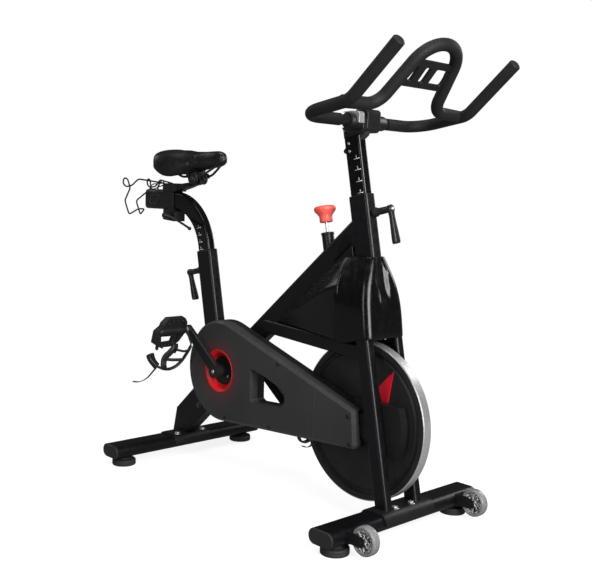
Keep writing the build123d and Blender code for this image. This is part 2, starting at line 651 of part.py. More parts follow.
def make_bottle_cage():
    """One bent wire with a hook loop for a bottle on each side."""
    right = [
        (-366, -16, 838), (-470, -42, 849), (-500, -46, 828), (-534, -46, 823), (-552, -47, 834), (-532, -44, 850),
        (-520, -40, 822), (-572, -22, 778), (-552, -22, 733), (-526, -10, 757),
    ]
    left = [(x, -y, z) for x, y, z in reversed(right)]
    points = right + left
    path = FilletPolyline(*points, radius=5)
    wire = wire_tube(path, 2.5)
    return wire - make_seat_slider()


def make_saddle_pad():
    """Plain closed solid of the padded saddle."""
    half = [(-90, 0), (-95, 14), (-115, 21), (-165, 26), (-215, 39), (-262, 64), (-303, 81), (-335, 82), (-357, 66),
            (-363, 33)]
    outline = half + [(x, -y) for x, y in reversed(half[1:])]
    curve = Spline(*outline, periodic=True)
    body = Pos(0, 0, 878) * extrude(make_face(curve), 57)
    skirt = Pos(-320, 0, 869) * extrude(RectangleRounded(64, 144, 20), 10)
    hollow = Pos(-300, 0, 869) * Box(200, 118, 18)
    body = body + (skirt - hollow)
    return fillet(body.faces().sort_by(Axis.Z)[-1].edges(), 9)


def make_saddle_base():
    half = [(-106, 0), (-112, 10), (-165, 17), (-215, 29), (-262, 46), (-305, 54), (-334, 54), (-349, 42), (-353, 22)]
    outline = half + [(x, -y) for x, y in reversed(half[1:])]
    return Pos(0, 0, 872) * extrude(make_face(Spline(*outline, periodic=True)), 6)


def saddle_rail(side):
    path = FilletPolyline((-130, side * 12, 868), (-165, side * 16, 861), (-262, side * 20, 861),
                          (-325, side * 34, 868), radius=12)
    return wire_tube(path, 3.5)


def make_saddle_clamp():
    """Two cheeks and a bolt that grip the rails."""
    cheek = slab(fillet(polygon((-236, 845), (-188, 845), (-188, 868), (-236, 868)).vertices(), 4), 9.5, 24)
    cheek -= saddle_rail(1)
    bolt = pin_y(*SADDLE_PIVOT, 4.0, -29, 29)
    heads = pin_y(*SADDLE_PIVOT, 7.0, 24, 30)
    return group(cheek + mirrored(cheek) + bolt + heads + mirrored(heads))


# ---------------------------------------------------------------- handlebar
POST_LENGTH_UP, POST_LENGTH_DOWN = 160.0, 150.0
RACK_OPENINGS = ((-66, -48), (-24, -5), (15, 62))


def make_handlebar_post():
    return leaning_tube(head_plane, POST_W, POST_T, POST_CORNER, -POST_LENGTH_DOWN, POST_LENGTH_UP)


def bar_path():
    tip = (745, 1141)
    bend = (612, 1026)
    right = [(tip[0], -BAR_Y, tip[1]), (bend[0], -BAR_Y, bend[1]), (BAR_BACK_X, -BAR_Y, BAR_Z)]
    left = [(x, -y, z) for x, y, z in reversed(right)]
    return FilletPolyline(*right, *left, radius=[60, 62, 62, 60])


def loop_path():
    right = [(588, -BAR_Y, 1024), (592, -104, 1027), (705, -60, 1163)]
    left = [(x, -y, z) for x, y, z in reversed(right)]
    return FilletPolyline(*right, *left, radius=[46, 76, 76, 46])


def bar_solid(radius):
    return wire_tube(bar_path(), radius) + wire_tube(loop_path(), radius)


CLAMP_HALF, BARE_HALF = 60.0, 84.0


def clamp_zone():
    return Pos(BAR_BACK_X, 0, BAR_Z) * Box(80, 2 * BARE_HALF, 70)


def make_handlebar_tube(full):
    return full - bar_solid(TUBE_R - 2)


def make_handlebar_clamp():
    """Cradle on top of the post with a cap that grips the handlebar."""
    post = leaning_bar(head_plane, POST_W, POST_T, POST_CORNER, 0, POST_LENGTH_UP)
    socket = head_plane * Pos(0, 0, POST_LENGTH_UP - 14) * extrude(RectangleRounded(64, 38, 12), 24)
    outline = polygon((396, 974), (450, 968), (480, 984), (480, 1018), (432, 1021), (400, 1006))
    body = slab(fillet(outline.vertices(), 8), -32, 32)
    ends = pin_y(BAR_BACK_X, BAR_Z, 20, -CLAMP_HALF, CLAMP_HALF)
    collars = pin_y(BAR_BACK_X, BAR_Z, 16.5, -CLAMP_HALF - 14, CLAMP_HALF + 14)
    return (socket + body + ends + collars) - post - pin_y(BAR_BACK_X, BAR_Z, TUBE_R, -90, 90)


def make_media_rack():
    """Flat ribbed rest between the two uprights of the handlebar loop."""
    rise = Vector(120, 0, 135).normalized()
    plane = Plane(origin=(646, 0, 1092), x_dir=(0, 1, 0), z_dir=rise.cross(Vector(0, 1, 0)))
    rack = plane * extrude(polygon((-84, 26), (84, 26), (68, -46), (-68, -46)), 4, both=True)
    for left, right in RACK_OPENINGS:
        middle = plane * Pos((left + right) / 2, -9)
        rack -= middle * extrude(RectangleRounded(right - left, 42, 5), 8, both=True)
    return rack - bar_solid(GRIP_R)


# ---------------------------------------------------------------- levers
def l_lever(length, reach):
    """Clamp lever along local +Z: stud, hub, then an arm along local -X."""
    stud = extrude(Circle(6.0), 22)
    hub = Pos(0, 0, 22) * extrude(Circle(9.5), reach)
    arm = Pos(0, 0, 22 + reach - 9) * extrude(make_hull([
        Circle(9.5).edge(),
        (Pos(-length, 0) * Circle(6.5)).edge(),
    ]), 11)
    return stud + hub + arm


def placed_lever(plane, height, reach, swing, forward):
    """Put a lever on the front or the back face of a leaning tube, hanging down."""
    lever = Rot(0, 0, swing) * l_lever(78, reach)
    turn = Rot(0, 90, 0) * Rot(0, 0, 180) if forward else Rot(0, -90, 0)
    clear = POST_W / 2 + 0.5
    return plane * Pos(clear if forward else -clear, 0, height) * turn * lever


def make_slider_lever():
    x, z = SLIDER_SCREW
    tip = (x + 140, -46, z - 34)
    screw = pin_y(x, z, 5.0, -36, 19)
    hub = pin_y(x, z, 9, -44, -21)
    return screw + hub + rod((x, -38, z), tip, 3.6) + Pos(*tip) * Sphere(5.5)


# ---------------------------------------------------------------- brake
BRAKE_TRAVEL = 8.0


def make_brake_knob():
    profile = make_face(Polyline(
        (4.06, -42), (15.5, -42), (16, -26), (22, -20), (28.5, -13), (28.5, -6), (23, 0), (4.06, 0), close=True))
    knob = revolve(Plane.XZ * profile, axis=Axis.Z)
    cap = Pos(0, 0, -3.9) * Cylinder(4.06, 7.8)
    return brake_axis_plane * (knob + cap)


ROD_LENGTH = 334.0


def make_brake_rod():
    """Rod from the knob through the beam, ending in the pad's carrier."""
    rod_part = Pos(0, 0, -ROD_LENGTH) * extrude(Circle(4.0), ROD_LENGTH - 8)
    carrier = Pos(0, 0, -ROD_LENGTH - 3) * Box(42, 28, 6)
    return brake_axis_plane * (rod_part + carrier)


def make_brake_pad():
    pad = brake_axis_plane * Pos(0, 0, -ROD_LENGTH - 16) * Box(40, 24, 20)
    return pad - pin_y(WHEEL_X, WHEEL_Z, WHEEL_R + BRAKE_TRAVEL + 1.0, -60, 60)


# ---------------------------------------------------------------- write every sub-part
def main():
    save("bottom_bracket_shell", make_bottom_bracket())
    save("seat_tube", make_seat_tube())
    save("main_beam", make_main_beam())
    save("head_tube", make_head_tube())
    save("fork_legs", group(fork_leg(-1), fork_leg(1)))
    save("lower_rails", group(lower_rail(-1), lower_rail(1)))
    save("rear_leg", make_rear_leg())
    save("front_stabiliser", make_stabiliser(STAB_FRONT_X, STAB_FRONT_HALF, FOOT_Y["front"], FOOT_X["front"]))
    save("rear_stabiliser", make_stabiliser(STAB_REAR_X, STAB_REAR_HALF, FOOT_Y["rear"], FOOT_X["rear"]))
    save("stabiliser_end_caps", make_end_caps())
    save("stabiliser_brackets", make_brackets())
    for corner in ("front", "rear"):
        for side, word in ((-1, "right"), (1, "left")):
            save(f"levelling_foot_{corner}_{word}", foot(corner, side))
    save("caster_brackets", group(caster_bracket(-1), caster_bracket(1)))
    for side, word in ((-1, "right"), (1, "left")):
        save(f"transport_wheel_{word}", caster_wheel(side))
    save("front_shroud", make_front_shroud())
    save("triangle_covers", group(triangle_cover(-1), triangle_cover(1)))
    save("guard_outer", make_guard_outer())
    save("guard_inner", make_guard_inner())
    save("fasteners", make_fasteners())
    save("crank_bearings", make_bearings())
    save("crank_axle", make_crank_axle())
    save("crank_pulley", make_crank_pulley())
    save("crank_disc", make_crank_disc())
    save("flywheel", make_flywheel())
    save("flywheel_pulley", make_hub_pulley())
    save("flywheel_bearings", make_flywheel_bearings())
    save("flywheel_axle", make_flywheel_axle())
    save("axle_plates", group(axle_plate(-1), axle_plate(1)))
    save("drive_belt", make_belt())
    for side, word in ((-1, "right"), (1, "left")):
        save(f"crank_arm_{word}", crank_arm(side))
        save(f"pedal_{word}", pedal_body(side))
        save(f"pedal_spindle_{word}", pedal_spindle(side))
        save(f"toe_cage_{word}", pedal_cage(side))
    save("post_sleeves", group(
        post_sleeve(seat_plane, OUTER_W, SEAT_LEVER_DROP), post_sleeve(head_plane, HEAD_W, HEAD_LEVER_DROP)))
    save("seat_post", make_seat_post())
    save("seat_slider", make_seat_slider())
    save("bottle_cage", make_bottle_cage())
    save("saddle_pad", make_saddle_pad())
    save("saddle_base", make_saddle_base())
    save("saddle_rails", group(saddle_rail(-1), saddle_rail(1)))
    save("saddle_clamp", make_saddle_clamp())
    save("handlebar_post", make_handlebar_post())
    save("handlebar_clamp", make_handlebar_clamp())
    full = bar_solid(TUBE_R)
    save("handlebar_tube", make_handlebar_tube(full))
    save("handlebar_grip", bar_solid(GRIP_R) - full - clamp_zone())
    save("media_rack", make_media_rack())
    save("seat_lever", placed_lever(seat_plane, SEAT_LEVER_DROP, 50, -4, False))
    save("handlebar_lever", placed_lever(head_plane, HEAD_LEVER_DROP, 46, 8, True))
    save("slider_lever", make_slider_lever())
    save("brake_rod", make_brake_rod())
    save("brake_pad", make_brake_pad())
    save("brake_knob", make_brake_knob())


main()
box = Compound(children=list(nodes.values())).bounding_box()
print("box", box.min, box.max, "size", box.size)
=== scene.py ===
from math import copysign, cos, exp, pi, radians, sin, tan

import bmesh
import bpy
from mathutils import Matrix, Vector
from mathutils.bvhtree import BVHTree


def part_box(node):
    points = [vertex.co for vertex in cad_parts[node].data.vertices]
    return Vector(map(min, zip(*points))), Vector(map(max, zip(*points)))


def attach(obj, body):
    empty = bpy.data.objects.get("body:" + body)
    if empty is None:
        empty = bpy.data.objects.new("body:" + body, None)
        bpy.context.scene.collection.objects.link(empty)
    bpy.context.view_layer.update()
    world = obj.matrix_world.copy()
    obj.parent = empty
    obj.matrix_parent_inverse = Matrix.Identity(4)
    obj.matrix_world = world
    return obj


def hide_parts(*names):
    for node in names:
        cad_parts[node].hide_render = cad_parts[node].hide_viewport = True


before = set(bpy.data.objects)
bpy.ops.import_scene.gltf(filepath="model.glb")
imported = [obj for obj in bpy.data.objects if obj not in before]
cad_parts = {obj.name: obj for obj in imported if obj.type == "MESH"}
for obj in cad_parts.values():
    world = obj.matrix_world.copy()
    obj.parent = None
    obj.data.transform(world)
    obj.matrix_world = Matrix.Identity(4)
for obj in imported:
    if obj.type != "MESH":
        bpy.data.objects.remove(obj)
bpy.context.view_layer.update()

# Looks of the indoor spin bike.  Sizes are in millimetres unless a comment says otherwise.
# Lengths along X are measured from the crank axle, as in the part's own source.
MM = 0.001
axle_low, axle_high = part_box("crank_axle")
AXLE = (axle_low + axle_high) / 2
LEAN = radians(12)
UP = Vector((-sin(LEAN), 0, cos(LEAN)))
AHEAD = Vector((cos(LEAN), 0, sin(LEAN)))
LEFT = Vector((0, 1, 0))
FORWARD = Vector((1, 0, 0))
UPRIGHT = Vector((0, 0, 1))

SEAT_MOUTH = (-160.0, 638.0)
HEAD_MOUTH = (461.0, 816.0)
WHEEL = (500.7, 254.2)
WHEEL_R = 203.6
CRANK_Z = 305.6
CRANK_LENGTH, CRANK_ANGLE, PEDAL_HANG = 170.0, 142.2, 104.0
SIDES = (("right", -1), ("left", 1))


# ---------------------------------------------------------------- places
def at(x, y, z):
    """Row-frame place of a point given in millimetres from the crank axle, centre plane and floor."""
    return Vector((AXLE.x + x * MM, y * MM, z * MM))


def axes(origin, x_axis, y_axis, z_axis):
    """Matrix that puts millimetre coordinates along three directions at a place."""
    columns = Matrix((x_axis, y_axis, z_axis)).transposed() * MM
    return Matrix.Translation(origin) @ columns.to_4x4()


def leaning(x, z, y=0.0):
    """Z up a leaning tube, X ahead, Y to the left."""
    return axes(at(x, y, z), AHEAD, LEFT, UP)


def upright(x, y, z):
    return axes(at(x, y, z), FORWARD, LEFT, UPRIGHT)


def sideways(x, y, z, side):
    """Z points out of the bike on that side."""
    out = Vector((0, side, 0))
    return axes(at(x, y, z), UPRIGHT.cross(out), UPRIGHT, out)


def profile_plane(x, z, side=-1, y=0):
    """X ahead, Y up and Z out of the bike on that side."""
    return axes(at(x, y, z), FORWARD, UPRIGHT, Vector((0, side, 0)))


# ---------------------------------------------------------------- mesh helpers
def new_object(name, mesh):
    piece = bpy.data.objects.new(name, mesh)
    bpy.context.scene.collection.objects.link(piece)
    return piece


def mesh_piece(name, points, faces, matrix=None, smooth=True):
    """A mesh object from points and faces, with its normals turned outwards."""
    mesh = bpy.data.meshes.new(name)
    placed = [matrix @ Vector(p) for p in points] if matrix else [Vector(p) for p in points]
    mesh.from_pydata(placed, [], faces)
    shape = bmesh.new()
    shape.from_mesh(mesh)
    bmesh.ops.remove_doubles(shape, verts=shape.verts, dist=1e-6)
    bmesh.ops.recalc_face_normals(shape, faces=shape.faces)
    shape.to_mesh(mesh)
    shape.free()
    mesh.polygons.foreach_set("use_smooth", [smooth] * len(mesh.polygons))
    return new_object(name, mesh)


def applied(piece):
    """Apply every modifier of a piece."""
    graph = bpy.context.evaluated_depsgraph_get()
    graph.update()
    mesh = bpy.data.meshes.new_from_object(piece.evaluated_get(graph), depsgraph=graph)
    if piece.type != "MESH":
        name = piece.name
        bpy.data.objects.remove(piece)
        return new_object(name, mesh)
    piece.modifiers.clear()
    piece.data = mesh
    return piece


def rounded(piece, width, segments=2, angle=30):
    """Rounded edges of a width in millimetres, as on a moulded or cast part."""
    bevel = piece.modifiers.new("edges", "BEVEL")
    bevel.width = width * MM
    bevel.segments = segments
    bevel.limit_method = "ANGLE"
    bevel.angle_limit = radians(angle)
    bevel.miter_outer = "MITER_ARC"
    normals = piece.modifiers.new("normals", "WEIGHTED_NORMAL")
    normals.keep_sharp = True
    return piece


def subdivided(piece, levels=2):
    subdivision = piece.modifiers.new("smooth", "SUBSURF")
    subdivision.levels = levels
    subdivision.render_levels = levels
    return piece


def joined(name, *pieces):
    """Several meshes as one piece."""
    shape = bmesh.new()
    for piece in pieces:
        if piece.modifiers:
            applied(piece)
        shape.from_mesh(piece.data)
        bpy.data.objects.remove(piece)
    mesh = bpy.data.meshes.new(name)
    shape.to_mesh(mesh)
    shape.free()
    mesh.polygons.foreach_set("use_smooth", [True] * len(mesh.polygons))
    return new_object(name, mesh)


def grid_faces(rows, steps, around=True, looped=False):
    """Faces between rows of points, closed round each row and from last row to first where asked."""
    faces = []
    for row in range(rows if looped else rows - 1):
        low, high = row * steps, ((row + 1) % rows) * steps
        for step in range(steps if around else steps - 1):
            ahead = (step + 1) % steps
            faces.append((low + step, low + ahead, high + ahead, high + step))
    return faces


def capped_faces(rows, steps):
    return grid_faces(rows, steps) + [tuple(range(steps)), tuple(range((rows - 1) * steps, rows * steps))]


def lathe(name, profile, matrix, steps=64, ribs=0, rib_depth=0.0, rib_rows=()):
    """Turned shape: profile rows are (radius, height).  Rows in rib_rows carry ribs round them."""
    points = []
    for row, (radius, height) in enumerate(profile):
        for step in range(steps):
            angle = 2 * pi * step / steps
            depth = rib_depth * (cos(ribs * angle) - 1) / 2 if row in rib_rows else 0.0
            points.append(((radius + depth) * cos(angle), (radius + depth) * sin(angle), height))
    return mesh_piece(name, points, capped_faces(len(profile), steps), matrix)


def hollow_lathe(name, profile, matrix, steps=64):
    """Turned ring: the profile is a closed loop of (radius, height)."""
    points = []
    for radius, height in profile:
        for step in range(steps):
            angle = 2 * pi * step / steps
            points.append((radius * cos(angle), radius * sin(angle), height))
    return mesh_piece(name, points, grid_faces(len(profile), steps, looped=True), matrix)


def prism(name, outline, low, high, matrix, smooth=True):
    """An outline of (x, y) thickened along local Z from low to high."""
    count = len(outline)
    points = [(x, y, low) for x, y in outline] + [(x, y, high) for x, y in outline]
    faces = [tuple(range(count)), tuple(range(count, 2 * count))]
    faces += [(i, (i + 1) % count, count + (i + 1) % count, count + i) for i in range(count)]
    return mesh_piece(name, points, faces, matrix, smooth)


def hexagon(radius):
    return [(radius * cos(pi * i / 3), radius * sin(pi * i / 3)) for i in range(6)]


def ring(centre, across, over, half_width, half_height, steps=24, power=2.0):
    """A rounded-square ring of points round a centre."""
    points = []
    for step in range(steps):
        angle = 2 * pi * step / steps
        c, s = cos(angle), sin(angle)
        u = copysign(abs(c) ** (2 / power), c)
        v = copysign(abs(s) ** (2 / power), s)
        points.append(centre + across * (half_width * u) + over * (half_height * v))
    return points


def loft(name, rings, matrix=None):
    """Skin through rings that all have the same number of points, closed at both ends."""
    points = [p for each in rings for p in each]
    return mesh_piece(name, points, capped_faces(len(rings), len(rings[0])), matrix)


def curve_piece(name, knots, radius, resolution, sides=6, closed=False):
    """Curve through knots, each a point, or a point with its two handles."""
    curve = bpy.data.curves.new(name, "CURVE")
    curve.dimensions = "3D"
    curve.bevel_depth = radius * MM
    curve.bevel_resolution = sides
    curve.use_fill_caps = True
    curve.resolution_u = resolution
    spline = curve.splines.new("BEZIER")
    spline.bezier_points.add(len(knots) - 1)
    spline.use_cyclic_u = closed
    for knot, place in zip(spline.bezier_points, knots):
        free = isinstance(place, tuple) and isinstance(place[0], Vector)
        knot.handle_left_type = knot.handle_right_type = "FREE" if free else "AUTO"
        if free:
            knot.co, knot.handle_left, knot.handle_right = place
        else:
            knot.co = place
    return applied(new_object(name, curve))


def tube(name, points, radius, closed=False):
    """A round wire of a radius in millimetres through points, curving smoothly."""
    return curve_piece(name, points, radius, 12, closed=closed)


def bent_wire(name, points, radius, bend):
    """A wire of straight runs with a rounded bend at each point: points in metres, radii in millimetres."""
    knots = [(points[0], points[0], points[0])]
    for before, corner, after in zip(points, points[1:], points[2:]):
        back, ahead = before - corner, after - corner
        cut = min(bend * MM, back.length * 0.48, ahead.length * 0.48)
        start, end = corner + back.normalized() * cut, corner + ahead.normalized() * cut
        knots.append((start, start, start.lerp(corner, 0.6)))
        knots.append((end, end.lerp(corner, 0.6), end))
    knots.append((points[-1], points[-1], points[-1]))
    return curve_piece(name, knots, radius, 8)


def walled(piece, thickness, offset=-1):
    """Turn a skin into a wall of a thickness in millimetres."""
    wall = piece.modifiers.new("wall", "SOLIDIFY")
    wall.thickness = thickness * MM
    wall.offset = offset


def cut_away(piece, *tools):
    """Take other closed meshes out of a piece."""
    for tool in tools:
        boolean = piece.modifiers.new("cut", "BOOLEAN")
        boolean.operation = "DIFFERENCE"
        boolean.solver = "EXACT"
        boolean.object = tool
        applied(piece)
        bpy.data.objects.remove(tool)
    return piece


# ---------------------------------------------------------------- materials
class Finish:
    """A procedural material: colour mottling, roughness variation and surface relief."""

    def __init__(self, name, colour, rough, metal=0.0, specular=0.5):
        self.material = bpy.data.materials.new(name)
        self.material.use_nodes = True
        self.material.diffuse_color = (*colour, 1)
        self.nodes = self.material.node_tree.nodes
        self.links = self.material.node_tree.links
        self.shader = self.nodes["Principled BSDF"]
        self.colour = colour
        self.rough = rough
        self.shader.inputs["Base Color"].default_value = (*colour, 1)
        self.shader.inputs["Roughness"].default_value = rough
        self.shader.inputs["Metallic"].default_value = metal
        self.shader.inputs["Specular IOR Level"].default_value = specular
        self.place = self.nodes.new("ShaderNodeTexCoord").outputs["Object"]

    def noise(self, scale, detail=4.0, stretch=None):
        """Noise value at a number of cells a metre, stretched along an axis where asked."""
        place = self.place
        if stretch:
            mapping = self.nodes.new("ShaderNodeMapping")
            mapping.inputs["Scale"].default_value = stretch
            self.links.new(place, mapping.inputs["Vector"])
            place = mapping.outputs["Vector"]
        texture = self.nodes.new("ShaderNodeTexNoise")
        texture.inputs["Scale"].default_value = scale
        texture.inputs["Detail"].default_value = detail
        self.links.new(place, texture.inputs["Vector"])
        return texture.outputs["Fac"]

    def spread(self, value, low, high, start=0.3, end=0.7):
        """A value moved from one range to another."""
        node = self.nodes.new("ShaderNodeMapRange")
        node.inputs["From Min"].default_value = start
        node.inputs["From Max"].default_value = end
        node.inputs["To Min"].default_value = low
        node.inputs["To Max"].default_value = high
        self.links.new(value, node.inputs["Value"])
        return node.outputs["Result"]

    def maths(self, operation, first, second):
        node = self.nodes.new("ShaderNodeMath")
        node.operation = operation
        for socket, value in zip(node.inputs, (first, second)):
            if isinstance(value, (int, float)):
                socket.default_value = value
            else:
                self.links.new(value, socket)
        return node.outputs["Value"]

    def mix(self, share, first, second):
        """Colour between two colours, each a tuple or a socket."""
        node = self.nodes.new("ShaderNodeMix")
        node.data_type = "RGBA"
        self.links.new(share, node.inputs[0])
        for socket, value in ((node.inputs[6], first), (node.inputs[7], second)):
            if isinstance(value, tuple):
                socket.default_value = (*value, 1)
            else:
                self.links.new(value, socket)
        return node.outputs[2]

    def base(self, colour):
        self.links.new(colour, self.shader.inputs["Base Color"])
        self.painted = colour
        return self

    def mottle(self, amount=0.2, scale=9.0):
        """Broad, slight changes of colour and roughness over the surface."""
        value = self.noise(scale, 5.0)
        dark = tuple(c * (1 - amount) for c in self.colour)
        light = tuple(min(c * (1 + amount), 1) for c in self.colour)
        self.base(self.mix(self.spread(value, 0, 1), dark, light))
        scuffs = self.noise(scale * 7, 6.0)
        rough = self.spread(scuffs, max(self.rough - 0.06, 0.03), min(self.rough + 0.09, 1))
        self.links.new(rough, self.shader.inputs["Roughness"])
        return self

    def relief(self, height, depth, invert=False):
        """Surface relief of a depth in millimetres that follows a value."""
        bump = self.nodes.new("ShaderNodeBump")
        bump.inputs["Strength"].default_value = 1.0
        bump.inputs["Distance"].default_value = depth * MM
        bump.invert = invert
        self.links.new(height, bump.inputs["Height"])
        self.links.new(bump.outputs["Normal"], self.shader.inputs["Normal"])
        return self

    def grain(self, scale, depth, stretch=None, detail=3.0):
        """Fine, even relief."""
        return self.relief(self.noise(scale, detail, stretch), depth)

    def pebble(self, scale, depth):
        """Leather or foam relief: rounded cells."""
        cells = self.nodes.new("ShaderNodeTexVoronoi")
        cells.feature = "SMOOTH_F1"
        cells.inputs["Scale"].default_value = scale
        self.links.new(self.place, cells.inputs["Vector"])
        return self.relief(cells.outputs["Distance"], depth, True)

    def radius_from(self, x, z):
        """Distance from an axle along Y at a place in the row frame, in metres."""
        split = self.nodes.new("ShaderNodeSeparateXYZ")
        self.links.new(self.place, split.inputs["Vector"])
        dx = self.maths("SUBTRACT", split.outputs["X"], x)
        dz = self.maths("SUBTRACT", split.outputs["Z"], z)
        square = self.maths("ADD", self.maths("MULTIPLY", dx, dx), self.maths("MULTIPLY", dz, dz))
        return self.maths("SQRT", square, 0.0)


def plain(name, colour, rough, mottling, relief, **settings):
    """A finish with mottling (amount, cells a metre) and relief (cells a metre, depth) alone."""
    return Finish(name, colour, rough, **settings).mottle(*mottling).grain(*relief).material


def black_plastic(name="black_plastic", level=0.008, rough=0.42):
    """Moulded plastic with a fine spark-eroded texture."""
    return plain(name, (level, level, level * 1.08), rough, (0.2, 14), (1500, 0.01), specular=0.35)


def guard_plastic():
    """Smoky guard with a painted red glow round the crank, and the moulded dish's own red inside it."""
    finish = Finish("guard_plastic", (0.040, 0.039, 0.040), 0.33, specular=0.4)
    finish.mottle(0.15, 6)
    crank_x, crank_z = AXLE.x, AXLE.z
    radius = finish.radius_from(crank_x, crank_z)
    # Painted red glow: the guard's colour turns redder towards the crank, fading out between 58 and 100 mm.
    painted_glow = finish.spread(radius, 0.30, 0.0, 0.058, 0.100)
    smoky_with_painted_glow = finish.mix(painted_glow, finish.painted, (0.26, 0.012, 0.014))
    inside = finish.spread(radius, 1.0, 0.0, 0.0600, 0.0615)
    finish.base(finish.mix(inside, smoky_with_painted_glow, (0.72, 0.012, 0.014)))
    return finish.grain(1200, 0.004).material


def flywheel_iron():
    """Dark painted casting with a turned, bright rim."""
    finish = Finish("flywheel_iron", (0.017, 0.016, 0.017), 0.38, specular=0.35)
    finish.mottle(0.25, 20)
    radius = finish.radius_from(AXLE.x + WHEEL[0] * MM, WHEEL[1] * MM)
    rim = finish.spread(radius, 0, 1, (WHEEL_R - 3.2) * MM, (WHEEL_R - 2.6) * MM)
    finish.base(finish.mix(rim, finish.painted, (0.86, 0.86, 0.88)))
    finish.links.new(finish.maths("MULTIPLY", rim, 0.85), finish.shader.inputs["Metallic"])
    scratches = finish.noise(90, 6.0, (1, 14, 1))
    polished = finish.spread(scratches, 0.26, 0.34)
    rough = finish.nodes.new("ShaderNodeMix")
    finish.links.new(rim, rough.inputs[0])
    rough.inputs[2].default_value = 0.42
    finish.links.new(polished, rough.inputs[3])
    finish.links.new(rough.outputs[0], finish.shader.inputs["Roughness"])
    return finish.grain(700, 0.008).material


def steel(name="bright_steel", level=0.62, rough=0.24):
    return plain(name, (level, level, level * 1.02), rough, (0.1, 30), (400, 0.003, (1, 1, 6)), metal=0.75)


def belt_rubber():
    return plain("belt_rubber", (0.018, 0.018, 0.018), 0.7, (0.2, 30), (1500, 0.08))


def saddle_vinyl():
    """Black vinyl with pebbled grain."""
    finish = Finish("saddle_vinyl", (0.0055, 0.0055, 0.0065), 0.34, specular=0.45)
    return finish.mottle(0.15, 12).pebble(900, 0.035).material


def knob_plastic():
    """Translucent-looking coral red plastic."""
    finish = Finish("knob_plastic", (1.0, 0.13, 0.10), 0.4)
    finish.shader.inputs["Subsurface Weight"].default_value = 0.25
    finish.shader.inputs["Subsurface Radius"].default_value = (0.010, 0.002, 0.0015)
    return finish.mottle(0.05, 12).grain(700, 0.003).material


def wheel_polymer():
    """Pale see-through polyurethane tyre."""
    finish = Finish("wheel_polymer", (0.34, 0.34, 0.335), 0.22)
    finish.shader.inputs["Transmission Weight"].default_value = 0.35
    finish.shader.inputs["IOR"].default_value = 1.48
    finish.shader.inputs["Subsurface Weight"].default_value = 0.3
    finish.shader.inputs["Subsurface Radius"].default_value = (0.004, 0.004, 0.0038)
    return finish.mottle(0.1, 40).grain(700, 0.02).material


def cap_plastic():
    """End cap with fine moulded ridges."""
    finish = Finish("cap_plastic", (0.022, 0.022, 0.024), 0.5, specular=0.4)
    finish.mottle(0.2, 20)
    return finish.grain(320, 0.08, (1, 1, 0.15), 1.0).material


def wheel_core():
    """Cast core of the transport wheel: dark ribs with bright chips between them."""
    finish = Finish("wheel_core", (0.03, 0.03, 0.03), 0.35)
    chips = finish.nodes.new("ShaderNodeTexVoronoi")
    chips.inputs["Scale"].default_value = 260
    finish.links.new(finish.place, chips.inputs["Vector"])
    share = finish.spread(chips.outputs["Distance"], 0, 1, 0.42, 0.62)
    finish.base(finish.mix(share, (0.014, 0.014, 0.015), (0.7, 0.7, 0.7)))
    return finish.grain(900, 0.02).material


def webbing():
    """Woven strap."""
    finish = Finish("webbing", (0.014, 0.014, 0.015), 0.8)
    finish.mottle(0.25, 60)
    weave = finish.nodes.new("ShaderNodeTexWave")
    weave.inputs["Scale"].default_value = 260
    weave.inputs["Distortion"].default_value = 0.6
    finish.links.new(finish.place, weave.inputs["Vector"])
    return finish.relief(weave.outputs["Fac"], 0.3).material


PAINT = plain("frame_paint", (0.0028, 0.0028, 0.0042), 0.35, (0.2,), (300, 0.003), specular=0.34)
POST = plain("post_paint", (0.0035, 0.0035, 0.0045), 0.15, (0.15,), (200, 0.004), specular=0.4)
PLASTIC = black_plastic()
PLASTIC_GREY = black_plastic("grey_plastic", 0.035, 0.5)
CLAMP = black_plastic("clamp_black", 0.014, 0.33)
SHROUD = plain("shroud_plastic", (0.0032, 0.0028, 0.0032), 0.2, (0.2,), (70, 0.03), specular=0.35)
GUARD = guard_plastic()
IRON = flywheel_iron()
STEEL = steel()
ALLOY = plain("cast_alloy", (0.5, 0.5, 0.51), 0.38, (0.15, 25), (1200, 0.03), metal=1.0)
DARK_STEEL = steel("dark_steel", 0.12, 0.34)
SILVER = steel("satin_silver", 0.7, 0.42)
RUBBER = belt_rubber()
FOOT = plain("foot_rubber", (0.017, 0.017, 0.018), 0.62, (0.25, 30), (1600, 0.07))
BELT = belt_rubber()
VINYL = saddle_vinyl()
foam = Finish("grip_foam", (0.0105, 0.0105, 0.0115), 0.62, specular=0.3)
FOAM = foam.mottle(0.18, 22).pebble(1200, 0.06).material
KNOB = knob_plastic()
RED = plain("signal_red", (0.63, 0.006, 0.022), 0.38, (0.1, 20), (1200, 0.02))
DISH_RED = plain("ring_red", (0.74, 0.010, 0.014), 0.4, (0.12, 30), (1200, 0.02))
TYRE = wheel_polymer()
CAP = cap_plastic()
PRINT = plain("print_white", (0.72, 0.72, 0.72), 0.5, (0.08, 60), (1500, 0.01))
WEBBING = webbing()
CORE = wheel_core()


# ---------------------------------------------------------------- carried-over CAD nodes
def dress(material, *names, width=0.8, angle=32):
    """Give CAD nodes a material and slightly rounded edges."""
    for name in names:
        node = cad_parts[name]
        node.data.materials.clear()
        node.data.materials.append(material)
        if width:
            weld = node.modifiers.new("weld", "WELD")
            weld.merge_threshold = 1e-5
            rounded(node, width, 2, angle)


